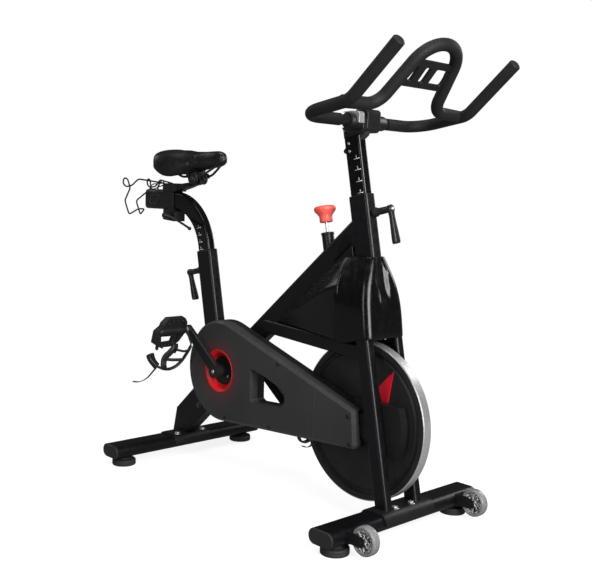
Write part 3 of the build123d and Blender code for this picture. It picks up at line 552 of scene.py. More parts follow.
def dress_frame():
    dress(PAINT, "bottom_bracket_shell", "seat_tube", "main_beam", "head_tube", "fork_legs", "lower_rails",
          "rear_leg", width=1.2)
    dress(CLAMP, "axle_plates", width=2.4)
    dress(PAINT, "front_stabiliser", "rear_stabiliser", width=0.0)
    dress(POST, "seat_post", "handlebar_post", width=0.0)
    dress(PLASTIC, "post_sleeves", "seat_slider", "media_rack", "saddle_base", "caster_brackets", width=1.0)
    dress(PLASTIC, "stabiliser_brackets", width=0.8)
    dress(CLAMP, "handlebar_clamp", "saddle_clamp", width=1.0)
    dress(SHROUD, "front_shroud", "triangle_covers", width=1.6)
    dress(GUARD, "guard_outer", width=1.0)
    dress(PLASTIC, "guard_inner", width=0.8)
    dress(STEEL, "crank_axle", "pedal_spindle_right", "pedal_spindle_left", "flywheel_axle", "crank_bearings",
          "flywheel_bearings", width=0.4)
    dress(STEEL, "brake_rod", width=0.0)
    dress(DARK_STEEL, "saddle_rails", width=0.0)
    dress(CLAMP, "crank_arm_right", "crank_arm_left", width=0.6)
    dress(PLASTIC, "crank_disc", width=0.8)
    dress(ALLOY, "crank_pulley", "flywheel_pulley", width=0.6)
    dress(IRON, "flywheel", width=0.0)
    dress(BELT, "drive_belt", width=0.0)
    dress(RUBBER, "brake_pad", width=0.8)
    dress(FOAM, "handlebar_grip", width=0.0)
    dress(CLAMP, "handlebar_tube", width=0.0)
    dress(CAP, "stabiliser_end_caps", width=0.8)


def finished(piece, material, body, slot, *replaced):
    """Material, body and the CAD nodes that a new piece stands for. The slot argument is not used."""
    piece.data.materials.clear()
    piece.data.materials.append(material)
    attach(piece, body)
    if replaced:
        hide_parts(*replaced)
    return piece


# ---------------------------------------------------------------- saddle
# Along the saddle: distance from the crank axle, half width, top and lower edge.
SADDLE_STATIONS = (
    (-80, 6, 922, 905), (-85, 13, 930, 897), (-97, 19, 936, 890), (-120, 22, 938, 889), (-145, 24, 936, 887),
    (-170, 27, 934, 883), (-200, 34, 933, 875), (-225, 44, 934, 863), (-250, 58, 936, 853),
    (-275, 70, 939, 847),
    (-300, 79, 941, 849), (-325, 82, 942, 860), (-345, 77, 940, 875), (-358, 60, 932, 890),
    (-364, 34, 918, 902),
)
SADDLE_CAP = 4.0


def saddle_start():
    """Slightly slim body of the saddle that the pressure then fills, hollow under its wide part."""
    rings = []
    for x, half, top, low in SADDLE_STATIONS:
        middle, height = (top + low) / 2, (top - low) / 2
        flare = min(max((half - 26) / 40, 0), 1)
        placed = []
        for step in range(36):
            angle = 2 * pi * step / 36
            c, s = cos(angle), sin(angle)
            power = 2.5 if s >= 0 else 2.5 + 2.5 * flare
            y = (half - 1.5) * copysign(abs(c) ** (2 / power), c)
            z = (height - 1) * copysign(abs(s) ** (2 / power), s)
            lift = 24 * flare * max(1 - (y / (half * 0.86)) ** 2, 0) if z < -0.3 * height else 0
            placed.append(at(x, y, middle + z + lift))
        rings.append(placed)
    return applied(subdivided(loft("saddle_cushion", rings), 1))


def inflate(piece, voxel, pressure, cap):
    """Cloth pressure on a remeshed body, with each point's movement limited."""
    remesh = piece.modifiers.new("remesh", "REMESH")
    remesh.mode = "VOXEL"
    remesh.voxel_size = voxel * MM
    applied(piece)
    start = [v.co.copy() for v in piece.data.vertices]
    cloth = piece.modifiers.new("cloth", "CLOTH")
    cloth.settings.use_pressure = True
    cloth.settings.uniform_pressure_force = pressure
    cloth.settings.tension_stiffness = 30
    cloth.settings.compression_stiffness = 30
    cloth.settings.effector_weights.gravity = 0
    for step in range(1, 21):
        bpy.context.scene.frame_set(step)
    applied(piece)
    bpy.context.scene.frame_set(1)
    for vertex, home in zip(piece.data.vertices, start):
        move = vertex.co - home
        if move.length > cap * MM:
            vertex.co = home + move.normalized() * cap * MM


def press_channel(piece):
    """Shallow relief channel along the middle."""
    for vertex in piece.data.vertices:
        x = (vertex.co.x - AXLE.x) / MM
        y = vertex.co.y / MM
        if vertex.co.z / MM < 918:
            continue
        lengthways = min(max((-112 - x) / 40, 0), 1) * min(max((x + 352) / 30, 0), 1)
        channel = 6.0 * exp(-(y / (6 + 0.03 * (-100 - x))) ** 2) * lengthways
        vertex.co.z -= channel * MM


SADDLE_PIVOT = (-212.0, 853.0)
SADDLE_RAIL = (
    (-112, 7, 893), (-135, 12, 880), (-170, 18, 862), (-262, 21, 858), (-282, 27, 868), (-284, 31, 882),
)
# Clamp disc on each side of the saddle: radius, and distance from the centre plane.
CLAMP_DISC = (
    (6, 9), (15, 9), (17, 11), (17, 15), (15.5, 16), (15.5, 19), (17, 20), (17, 25), (14, 27),
    (8, 27.5), (8, 31),
    (3, 31.5),
)


def make_saddle():
    cushion = saddle_start()
    inflate(cushion, 4.5, 4.0, SADDLE_CAP)
    applied(subdivided(cushion, 1))
    press_channel(cushion)
    cushion.data.polygons.foreach_set("use_smooth", [True] * len(cushion.data.polygons))
    finished(cushion, VINYL, "saddle", "saddle_cover", "saddle_pad")
    skin = BVHTree.FromPolygons([v.co for v in cushion.data.vertices],
                                [p.vertices[:] for p in cushion.data.polygons])
    edge = []
    for side in (-1, 1):
        for x, half, top, low in SADDLE_STATIONS[1:-1][::side]:
            edge.append(skin.find_nearest(at(x, side * half, low + 0.2 * (top - low)))[0])
    seam = tube("saddle_seam", edge, 0.8, closed=True)
    finished(seam, VINYL, "saddle", "saddle_cover")
    tray = []
    for x, half, _, low in SADDLE_STATIONS[2:-2]:
        centre = at(x, 0, low + 12 + 0.16 * half)
        tray.append(ring(centre, LEFT, UPRIGHT, half * 0.78 * MM, 2.2 * MM, 24, 4.0))
    finished(loft("saddle_tray", tray), PLASTIC, "saddle", "saddle_plastic", "saddle_base")
    rails = []
    for _, side in SIDES:
        points = [at(x, side * y, z) for x, y, z in SADDLE_RAIL]
        rails.append(bent_wire("rail", points, 3.5, 14))
    finished(joined("saddle_rail_wires", *rails), CLAMP, "saddle", "bolt_steel", "saddle_rails")
    x, z = SADDLE_PIVOT
    clamp = []
    for _, side in SIDES:
        clamp.append(lathe("disc", CLAMP_DISC, sideways(x, 0, z, side), 60, 24, 1.4, (2, 3, 6, 7)))
        outline = [(-28, 2), (26, 2), (24, 12), (18, 17), (-20, 16), (-26, 11)]
        jaw = prism("jaw", outline, 11, 27, profile_plane(x, z, side))
        clamp.append(rounded(jaw, 2.0, 3))
    finished(joined("saddle_clamp_jaws", *clamp), CLAMP, "saddle", "clamp_black", "saddle_clamp")


# ---------------------------------------------------------------- bottle cage
CAGE_WIRE = (
    (-366, 16, 838), (-470, 42, 849), (-500, 46, 828), (-534, 46, 823), (-552, 47, 834), (-548, 46, 852),
    (-530, 44, 850), (-519, 40, 820), (-578, 22, 778), (-552, 22, 733), (-513, 12, 753),
)


def make_cage():
    right = [at(x, -y, z) for x, y, z in CAGE_WIRE]
    left = [at(x, y, z) for x, y, z in reversed(CAGE_WIRE)]
    wire = bent_wire("cage_wire", right + left, 2.5, 9)
    finished(wire, CLAMP, "seat_slider", "cage_wire", "bottle_cage")
    hump = [at(x, -17, z) for x, z in ((-392, 829), (-384, 842), (-372, 847), (-362, 838), (-352, 826))]
    low = [at(x, y, z) for x, y, z in ((-360, -18, 838), (-414, -26, 834), (-426, -28, 822), (-408, -26, 817),
                                        (-388, -20, 826), (-362, -18, 832))]
    loops = joined("cage_clips", bent_wire("hump", hump, 1.8, 8), bent_wire("low", low, 1.8, 8))
    finished(loops, CLAMP, "seat_slider", "cage_wire")


ARM_Z = 786.5


def make_arm_end():
    """Moulded sleeve over the level arm, its six-sided side panels, the wedge below and a bent pin."""
    points = []
    sections = ((-334, 18, 30), (-337, 19, 31), (-458, 19, 31), (-463, 18, 30), (-466, 16.6, 28.6))
    steps = 48
    for x, half_y, half_z in sections:
        points += ring(at(x, 0, ARM_Z + 1), LEFT, UPRIGHT, half_y * MM, half_z * MM, steps, 6.0)
    sleeve = mesh_piece("arm_sleeve", points, grid_faces(len(sections), steps))
    walled(sleeve, 2.6)
    finished(sleeve, CLAMP, "seat_slider", "bracket_plastic")
    panel = []
    for _, side in SIDES:
        outline = [(-29, -4), (-19, 14), (27, 15), (19, 0), (3, -15), (-25, -15)]
        inner = [(x * 0.88, y * 0.82) for x, y in outline]
        place = profile_plane(-410, ARM_Z, side)
        border = prism("border", outline, 18.2, 21.0, place)
        panel.append(rounded(cut_away(border, prism("inner", inner, 17, 21, place)), 0.4))
    finished(joined("arm_sleeve_panels", *panel), PLASTIC_GREY, "seat_slider", "bracket_plastic")
    wedge_outline = [(-46, 760), (6, 760), (6, 752), (-4, 748), (-34, 747)]
    wedge_outline = [(x - 328, z) for x, z in wedge_outline]
    wedge = rounded(prism("slider_wedge", wedge_outline, -15, 15, profile_plane(0, 0)), 2.0, 3)
    finished(wedge, PLASTIC_GREY, "seat_slider", "bracket_plastic")
    pin = bent_wire("slider_pin", [at(-404, -12, 812), at(-404, -12, 826), at(-398, -12, 832)], 2.6, 4)
    finished(pin, CLAMP, "seat_slider", "cage_wire")


# ---------------------------------------------------------------- levers and knob
# Down a clamp lever: distance from its pivot, half width, half thickness, and how far it stands out.
LEVER_SECTIONS = (
    (-8, 5, 4, 0), (-6, 8, 6, 0), (4, 9.0, 7.0, 0), (14, 6.8, 5.8, 0), (34, 8.0, 6.4, -1), (54, 9.6, 7.4, -2),
    (76, 11.0, 8.2, -3), (84, 10.8, 8.0, -3.5), (86, 8.0, 6.4, -3.5),
)


def clamp_lever(name, mouth, drop, side, reach, sway, body, node):
    """Swivel lever on a leaning tube: side is 1 on the front face and -1 on the back face."""
    out = AHEAD * side
    middle = at(mouth[0], 0, mouth[1]) + UP * (drop * MM)
    start = 27.0
    base = axes(middle + out * (start * MM), UP.cross(out), UP, out)
    hub_low, hub_high = 8.0, 22.0 + reach
    hub = lathe("hub", [(6, 0), (6, hub_low), (11, hub_low), (12, hub_low + 2), (12, hub_low + 9),
                        (9, hub_low + 13),
                        (8.5, hub_high - 16), (10, hub_high - 12), (10.5, hub_high - 2), (9, hub_high),
                        (4, hub_high + 0.6)], base, 40)
    down = (-UP * cos(sway) + LEFT * sin(sway)).normalized()
    across = down.cross(out)
    pivot = middle + out * ((start + hub_high - 6) * MM)
    rings = []
    for along, wide, thick, proud in LEVER_SECTIONS:
        centre = pivot + down * (along * MM) + out * (proud * MM)
        rings.append(ring(centre, across, out, wide * MM, thick * MM, 20, 3.2))
    arm = applied(subdivided(loft("arm", rings), 1))
    lever = joined(name, hub, arm)
    finished(lever, CLAMP, body, "clamp_black", node)
    screw = lathe(name + "_screw", [(4.6, 0), (4.6, 1.6), (3.6, 2.4), (1.8, 2.4), (1.6, 1.4), (0.4, 1.4)],
                  axes(middle + out * ((start + hub_high - 0.2) * MM), UP.cross(out), UP, out), 24)
    finished(screw, STEEL, body, "bolt_steel")


SLIDER_SCREW = (-328.0, 738.5)


def make_slider_lever():
    """Long thin lever under the slider with a ball end."""
    x, z = SLIDER_SCREW
    hub = lathe("hub", [(5, -19), (5, 20), (9, 21), (9.5, 23), (9.5, 40), (8, 43),
                        (3, 44)], sideways(x, 0, z, -1), 36)
    line = [at(x, -36, z), at(x + 40, -41, z - 4), at(x + 92, -45, z - 18), at(x + 138, -46, z - 33)]
    arm = tube("arm", line, 3.4)
    ball = [(5.8 * sin(pi * i / 10) + 0.05, -5.8 * cos(pi * i / 10)) for i in range(11)]
    end = lathe("ball", ball, upright(x + 140, -46, z - 34), 24)
    lever = joined("slider_handle", hub, arm, end)
    finished(lever, CLAMP, "slider_lever", "clamp_black", "slider_lever")


BRAKE_TOP = (332.0, 788.0)


def make_knob():
    """Push-and-turn brake knob with soft lobes round its grip."""
    profile = [(9, -41), (15.8, -42.4), (17.2, -41.6), (17.0, -35), (17.0, -28), (18.6, -24), (23.0, -19),
               (27.6, -13.5), (29.3, -8.5), (28.6, -4), (26.0, -1.2), (21, -0.2), (12, 0), (4, 0), (0.5, 0)]
    knob = lathe("knob_grip", profile, leaning(*BRAKE_TOP), 96, 6, 0.9, range(6, 11))
    finished(knob, KNOB, "brake_knob", "knob_plastic", "brake_knob")
    collar = lathe("brake_sleeve_collar", [(16.2, 0), (17.2, 0.8), (17.2, 5), (16.4, 6.4),
                                           (10, 7.2), (4.6, 7.2)],
                   leaning(*BRAKE_TOP) @ Matrix.Translation((0, 0, -76)), 48)
    finished(collar, CLAMP, "frame", "clamp_black")


# ---------------------------------------------------------------- feet and transport wheels
FEET = (("front", 624.5, 221.5), ("rear", -250.5, 225.0))


def make_feet():
    for corner, x, y in FEET:
        for word, side in SIDES:
            node = f"levelling_foot_{corner}_{word}"
            place = upright(x, side * y, 0)
            pad = lathe(f"foot_pad_{corner}_{word}", [
                (30, 0), (33.2, 0), (34.2, 1.2), (34.7, 3), (34.7, 13), (34.2, 15), (32.6, 16.6), (28, 17.2),
                (22, 17.6), (20, 19), (18, 22.4), (14, 23), (5.2, 23.2)], place, 144, 36, 1.1, range(3, 5))
            finished(pad, FOOT, f"{corner}_{word}_foot", "foot_rubber", node)
            thread = [(5.0 if i % 2 else 4.4, 22 + i * 0.8) for i in range(36)]
            stud = lathe(f"foot_stud_{corner}_{word}", thread, place, 24)
            finished(stud, STEEL, f"{corner}_{word}_foot", "foot_rubber")
            nut = rounded(prism(f"foot_nut_{corner}_{word}", hexagon(9.2), 23.2, 26.6, place), 0.7)
            finished(nut, DARK_STEEL, f"{corner}_{word}_foot", "foot_rubber")


CASTER = (704.0, 205.3, 49.0)


def make_transport_wheels():
    x, y, z = CASTER
    for word, side in SIDES:
        place = sideways(x, side * y, z, 1)
        tyre = hollow_lathe(f"transport_tyre_{word}", [
            (26, -10), (29, -11.6), (32.2, -11.4), (34.2, -9), (34.9, -5), (34.9, 5), (34.2, 9), (32.2, 11.4),
            (29, 11.6), (26, 10), (25.4, 6), (25.4, -6)], place, 72)
        finished(tyre, TYRE, f"{word}_transport_wheel", "wheel_polymer", f"transport_wheel_{word}")
        rim = hollow_lathe("rim", [(22, -9), (25.8, -9.6), (25.8, 9.6), (22, 9), (22.6, 2),
                                   (22.6, -2)], place, 72)
        hub = hollow_lathe("hub", [(4.4, -12), (8.6, -12), (9.4, -11), (9.4, 11), (8.6, 12),
                                   (4.4, 12)], place, 40)
        web = hollow_lathe("web", [(9, -1.6), (23, -1.6), (23, 1.6), (9, 1.6)], place, 72)
        spokes = []
        for turn in range(8):
            angle = 2 * pi * turn / 8
            spin = place @ Matrix.Rotation(angle, 4, "Z")
            spokes.append(prism("spoke", [(8, -1.1), (23, -1.1), (23, 1.1), (8, 1.1)], -9, 9, spin))
        wheel = joined(f"transport_hub_{word}", rim, hub, web, *spokes)
        finished(wheel, CORE, f"{word}_transport_wheel", "wheel_polymer")


# ---------------------------------------------------------------- pedals
PEDAL_IN, PEDAL_OUT = 98.0, 188.0


def pedal_place(side):
    """Local X towards the toe, local Y out along the spindle, local Z out of the sole."""
    angle = radians(CRANK_ANGLE if side < 0 else CRANK_ANGLE + 180)
    x, z = CRANK_LENGTH * cos(angle), CRANK_Z + CRANK_LENGTH * sin(angle)
    hang = radians(PEDAL_HANG)
    toe = Vector((cos(hang), 0, -sin(hang)))
    sole = Vector((sin(hang), 0, cos(hang)))
    return axes(at(x, 0, z), toe, Vector((0, side, 0)), sole)


def crosswise(place, y):
    """Local Z of the result runs along the pedal's spindle."""
    turn = Matrix(((1, 0, 0, 0), (0, 0, 1, y), (0, 1, 0, 0), (0, 0, 0, 1)))
    return place @ turn


# Pedal platform seen square on: (towards the toe, out along the spindle).
PEDAL_OUTLINE = ((-41, 108), (-41, 166), (-26, 181), (-16, 184), (-2, 201), (34, 203), (45, 184),
                 (45, 138), (30, 118),
                 (2, 99), (-28, 99))
PEDAL_WINDOW = ((13, 182), (35, 178), (33, 143), (14, 137))
PEDAL_SLOT = ((8, 127), (32, 133), (32, 126), (9, 119))


def pedal_parts(place):
    """Chamfered platform with two openings, a raised spindle barrel, a rim and grip pegs."""
    body = prism("body", PEDAL_OUTLINE, -10.5, 10.5, place)
    middle_x = sum(x for x, _ in PEDAL_OUTLINE) / len(PEDAL_OUTLINE)
    middle_y = sum(y for _, y in PEDAL_OUTLINE) / len(PEDAL_OUTLINE)
    inset = [(middle_x + (x - middle_x) * 0.82, middle_y + (y - middle_y) * 0.84) for x, y in PEDAL_OUTLINE]
    window = prism("window", PEDAL_WINDOW, -30, 30, place)
    slot = prism("slot", PEDAL_SLOT, -30, 30, place)
    cut_away(body, prism("face", inset, 7.0, 14, place), prism("back", inset, -14, -7.0, place), window, slot)
    parts = [rounded(body, 1.6, 2)]
    barrel = lathe("barrel", [(8, PEDAL_IN - 2), (11.0, PEDAL_IN), (12.6, PEDAL_IN + 5),
                              (12.6, PEDAL_IN + 26),
                              (11.2, PEDAL_IN + 34), (11.2, PEDAL_OUT - 30),
                              (12.6, PEDAL_OUT - 22), (12.4, PEDAL_OUT),
                              (9, PEDAL_OUT + 5), (0.4, PEDAL_OUT + 6)], crosswise(place, 0), 40)
    parts.append(barrel)
    for x, y in ((-33, 118), (-33, 134), (-33, 150), (-29, 166), (38, 144), (38, 156), (38, 168),
                 (38, 180), (24, 192),
                 (8, 194)):
        for face in (-1, 1):
            peg = lathe("peg", [(2.8, 9), (2.4, 12.6), (1.6, 13.4), (0.3, 13.5)],
                        place @ Matrix.Translation((x, y, 0)) @ Matrix.Diagonal((1, 1, face, 1)), 12)
            parts.append(peg)
    for x, y, long in ((50, 186, 12), (48, 170, 8)):
        tip = x + long / 2
        lug = prism("lug", [(x - 8, y - 3), (tip, y - 2.5), (tip, y + 2.5), (x - 8, y + 3)], -5, 5, place)
        parts.append(rounded(lug, 1.2, 2))
    return parts


def band(name, points, width, thick, matrix, flat):
    """A flat band through points, its width lying along one direction."""
    line = curve_piece(name, points, 0, 8)
    places = [v.co.copy() for v in line.data.vertices]
    bpy.data.objects.remove(line)
    rings = []
    for i, place in enumerate(places):
        along = (places[min(i + 1, len(places) - 1)] - places[max(i - 1, 0)]).normalized()
        across = (Vector(flat) - along * along.dot(Vector(flat))).normalized()
        rings.append(ring(place, across, along.cross(across), width / 2, thick / 2, 16, 4.0))
    return loft(name, rings, matrix)


# Toe clip and strap in the pedal's own axes: towards the toe, out along the spindle, out of the sole.
CLIP_RIM = ((33, 99, 45), (62, 105, 37), (90, 119, 32), (106, 141, 29), (107, 168, 26), (98, 190, 24))
CLIP_ARM = ((48, 128, 10), (64, 146, 12), (78, 163, 15), (94, 169, 22), (105, 168, 26))
CLIP_BAR = ((82, 160, 15), (82, 136, 25), (80, 110, 34))
CLIP_LOBE = ((66, 208, 2), (80, 204, 8), (98, 192, 22))
STRAP_LOOP = ((-4, 97, 6), (16, 96, 27), (33, 99, 44), (48, 109, 43), (52, 132, 22))
STRAP_TAIL = ((98, 190, 22), (118, 200, 16), (136, 206, 8), (154, 213, -8), (164, 217, -24), (169, 220, -40))


def toe_clip(place):
    """Moulded basket over the toe: a rim, an arm, a cross bar and a thick padded outer end."""
    parts = [
        band("rim", CLIP_RIM, 12, 6, place, (0, 0.3, 1)),
        band("arm", CLIP_ARM, 19, 9, place, (0.6, -0.6, 0.2)),
        band("bar", CLIP_BAR, 9, 5, place, (1, 0, 0)),
        band("lobe", CLIP_LOBE, 24, 16, place, (0.5, -0.9, 0)),
        band("foot", ((40, 127, 4), (50, 129, 9), (62, 137, 12)), 20, 12, place, (0, 1, 0)),
    ]
    for index in (1, 3, 4):
        rounded(parts[index], 2.5, 3)
    return parts


def toe_strap(place):
    """Webbing that loops over the shoe, the loose tail under the clip, and the buckle."""
    loop = band("strap_loop", STRAP_LOOP, 8, 2.4, place, (1, 0, -0.4))
    tail = band("strap_tail", STRAP_TAIL, 9, 2.4, place, (0, 1, 0.3))
    buckle_place = place @ Matrix.Translation((88, 176, 27))
    buckle = prism("buckle", [(-7, -6), (7, -6), (7, 6), (-7, 6)], 0, 4, buckle_place)
    return [loop, tail], rounded(buckle, 1.2, 2)


def make_pedals():
    for word, side in SIDES:
        place = pedal_place(side)
        body = f"{word}_pedal"
        platform = joined(f"pedal_platform_{word}", *pedal_parts(place))
        finished(platform, CLAMP, body, "pedal_plastic", f"pedal_{word}")
        clip = joined(f"toe_clip_{word}", *toe_clip(place))
        finished(clip, CLAMP, body, "pedal_plastic", f"toe_cage_{word}")
        bands, buckle = toe_strap(place)
        strap = joined(f"toe_strap_{word}", *bands)
        finished(strap, WEBBING, body, "pedal_plastic")
        buckle.name = f"strap_buckle_{word}"
        finished(buckle, DARK_STEEL, body, "bolt_steel")


def make_crank_details():
    """Bright caps on the ends of the crank axle, and two screws in the disc."""
    for word, side in SIDES:
        dust_cap = lathe(f"crank_cap_{word}", [(5.5, 0), (5.5, 1.2), (4.6, 2.2), (2.5, 2.5), (0.4, 2.5)],
                         sideways(0, side * 94, CRANK_Z, side), 32)
        finished(dust_cap, STEEL, "crank", "axle_steel")
    for name, turn in (("near", 200), ("far", 330)):
        x, z = 28 * cos(radians(turn)), CRANK_Z + 28 * sin(radians(turn))
        head = [(3.4, 0), (3.4, 0.8), (2.6, 1.6), (0.3, 1.8)]
        screw = lathe(f"disc_screw_{name}", head, sideways(x, -59, z, -1), 16)
        finished(screw, STEEL, "crank", "bolt_steel")


# ---------------------------------------------------------------- guard, flywheel and shroud details
GUARD_FACE = -73.0
GUARD_SCREWS = ((-130, 314), (250, 365), (34, 177), (223, 188), (512, 275), (520, 206))


def cross_screw(name, matrix, radius):
    """Pan head with a cross recess."""
    steps = 48
    rows = ((radius, 0), (radius, 0.7), (radius * 0.85, 1.5), (radius * 0.55, 1.9), (0.2, 2.0))
    head = lathe(name, rows, matrix, steps)
    for vertex in head.data.vertices:
        local = matrix.inverted() @ vertex.co
        arm = min(abs(local.x), abs(local.y))
        if arm < radius * 0.13 and local.xy.length < radius * 0.6 and local.z > 1.4:
            vertex.co = matrix @ Vector((local.x, local.y, 0.6))
    return head


def make_guard_details():
    screws = [cross_screw("screw", sideways(x, GUARD_FACE, z, -1), 6.2) for x, z in GUARD_SCREWS]
    finished(joined("guard_screws", *screws), CLAMP, "frame", "bolt_steel", "fasteners")
    section = [(59.6, 0.6), (61.4, 0.9), (61.4, -0.5), (59.4, -0.6), (43.6, -13.2), (43.0, -12.4)]
    dish = hollow_lathe("dish_ring", section, sideways(0, GUARD_FACE, CRANK_Z, -1), 96)
    finished(dish, DISH_RED, "frame", "guard_plastic")


def make_guard_seam():
    """Joint line where the front half of the guard laps over the rear half."""
    low, high = 184.0, 316.0
    place = profile_plane(388, 0, -1, GUARD_FACE)
    lip = rounded(prism("guard_lap", [(0, low), (2.6, low), (2.6, high), (0, high)], -1.0, 0.7, place), 0.4)
    finished(lip, PLASTIC_GREY, "frame", "guard_plastic")


HEAD_REACH = 30.2                    # front face of the head tube ahead of its centre line
SHROUD_LEVELS = (
    # height, half width, front and rear
    (470, 72, 568, 448), (500, 72, 564, 446), (530, 71.5, 560, 442), (555, 70, 556, 438),
    (580, 66, 551.5, 436),
    (605, 59, 546.5, 434), (628, 50, 541, 434), (648, 41, 536, 436), (662, 34, 531.5, 440),
    (670, 29, 528, 446),
)


def shroud_ring(level):
    """Level section of the fairing, open at the back, with a trough where the head tube runs into it."""
    height, half, front, rear = level
    corner = min(24.0, half * 0.6)
    points = [(rear, half)]
    steps = 10
    for step in range(steps + 1):
        angle = radians(90 * step / steps)
        points.append((front - corner + corner * sin(angle), half - corner + corner * cos(angle)))
    flat = half - corner
    rise = min(max((height - 562) / 20, 0), 1)
    tube_front = HEAD_MOUTH[0] + tan(LEAN) * (HEAD_MOUTH[1] - height) + HEAD_REACH
    for step in range(1, 16):
        y = flat * (1 - 2 * step / 16)
        trough = max(front - tube_front, 0) * rise * exp(-(y / 19.0) ** 6)
        points.append((front - trough, y))
    points += [(x, -y) for x, y in reversed(points[:steps + 2])]
    drop = max(1 - (height - 470) / 60, 0)
    return [(x, y, height - drop * 30 * min(max((front - 40 - x) / 60, 0), 1)) for x, y in points]


def make_shroud():
    """Smooth bell over the crown, and the two panels that run back from it under the beam."""
    rings = [shroud_ring(level) for level in SHROUD_LEVELS]
    points = [at(*p) for each in rings for p in each]
    bell = mesh_piece("shroud_bell", points, grid_faces(len(rings), len(rings[0]), around=False))
    walled(bell, 2.4)
    subdivided(bell, 2)
    finished(bell, SHROUD, "frame", "shroud_plastic", "front_shroud")
    for word, side in SIDES:
        low_edge = [(196, 21, 470), (260, 33, 467), (330, 47, 463), (400, 60, 459.5), (462, 70.5, 456)]
        middle = [(196, 22, 476), (262, 34, 506), (332, 47.5, 545), (402, 60, 584), (452, 66, 596)]
        top = [(196, 19.5, 479), (268, 21, 540), (338, 23, 596), (404, 26, 645), (446, 30, 667)]
        between = [tuple((a + b) / 2 for a, b in zip(p, q)) for p, q in zip(low_edge, middle)]
        rows = [low_edge, between, middle, top]
        points = [at(x, side * y, z) for row in rows for x, y, z in row]
        width = len(low_edge)
        panel = mesh_piece(f"shroud_panel_{word}", points, grid_faces(len(rows), width, around=False))
        crease = bmesh.new()
        crease.from_mesh(panel.data)
        layer = crease.edges.layers.float.new("crease_edge")
        for edge in crease.edges:
            edge[layer] = 0.75 if edge.is_boundary or all(v.index // width == 2 for v in edge.verts) else 0.0
        crease.to_mesh(panel.data)
        crease.free()
        subdivided(panel, 3)
        walled(panel, 2.4, -1 if side < 0 else 1)
        if side < 0:
            finished(panel, SHROUD, "frame", "shroud_plastic", "triangle_covers")
        else:
            finished(panel, SHROUD, "frame", "shroud_plastic")


def bolt_head(name, matrix, radius=8.0, height=5.5):
    head = rounded(prism("hex", hexagon(radius), 0.8, height, matrix), 0.8)
    profile = [(radius + 2.5, 0), (radius + 2.5, 0.8), (radius - 1, 0.9), (0.4, 0.9)]
    washer = lathe("washer", profile, matrix, 32)
    return joined(name, washer, head)


BRACKET_TOP = 68.0


def make_neck_gusset():
    """Filled corner between the beam, the head tube and the top of the fairing."""
    outline = [(384, 634), (462, 634), (447, 722), (420, 722)]
    gusset = rounded(prism("neck_gusset", outline, -18, 18, profile_plane(0, 0)), 1.5, 2)
    finished(gusset, PAINT, "frame", "frame_paint")


def make_bolts():
    bolts = []
    for x, half in ((638.5, 30), (-228.0, 48)):
        for y in (-half, half):
            bolts.append(bolt_head("bolt", upright(x, y, BRACKET_TOP)))
    finished(joined("bracket_bolts", *bolts), STEEL, "frame", "bolt_steel")
    leg = bolt_head("leg_bolt", sideways(-160, -18.5, 166, -1), 7, 5)
    finished(leg, DARK_STEEL, "frame", "bolt_steel")
    for word, side in SIDES:
        nut = bolt_head(f"axle_nut_{word}", sideways(WHEEL[0], side * 50, WHEEL[1], side), 10, 7)
        finished(nut, STEEL, "frame", "axle_steel")


FIN = ((600, 395), (576, 374), (553, 350), (556, 336), (561, 324), (567, 310), (584, 309),
       (588, 330), (593, 360))


def make_flywheel_fin():
    """Raised red blade on the flywheel's right face."""
    outline = [(x - WHEEL[0], z - WHEEL[1]) for x, z in FIN]
    fin = rounded(prism("flywheel_blade", outline, 8.8, 10.6, profile_plane(*WHEEL)), 0.6)
    finished(fin, RED, "flywheel", "flywheel_iron")


# ---------------------------------------------------------------- handlebar details
def make_scale(name, mouth, heights, body, offset):
    """Printed ticks and numbers up the right face of a sliding post."""
    marks = []
    for index, height in enumerate(heights):
        place = leaning(*mouth) @ Matrix.Translation((offset, -14.04, height))
        place = place @ Matrix.Rotation(radians(90), 4, "X")
        tick = prism("tick", [(-12, -0.9), (8, -0.9), (8, 0.9), (-12, 0.9)], 0.0, 0.12, place)
        marks.append(tick)
        text = bpy.data.curves.new("digit", "FONT")
        text.body = str(index + 1)
        text.size = 10.0
        text.extrude = 0.06
        text.offset = 0.12
        digit = bpy.data.objects.new("digit", text)
        bpy.context.scene.collection.objects.link(digit)
        digit = applied(digit)
        digit.data.transform(place @ Matrix.Translation((-5, 2.2, 0.06)))
        marks.append(digit)
    finished(joined(name, *marks), PRINT, body, "post_paint")


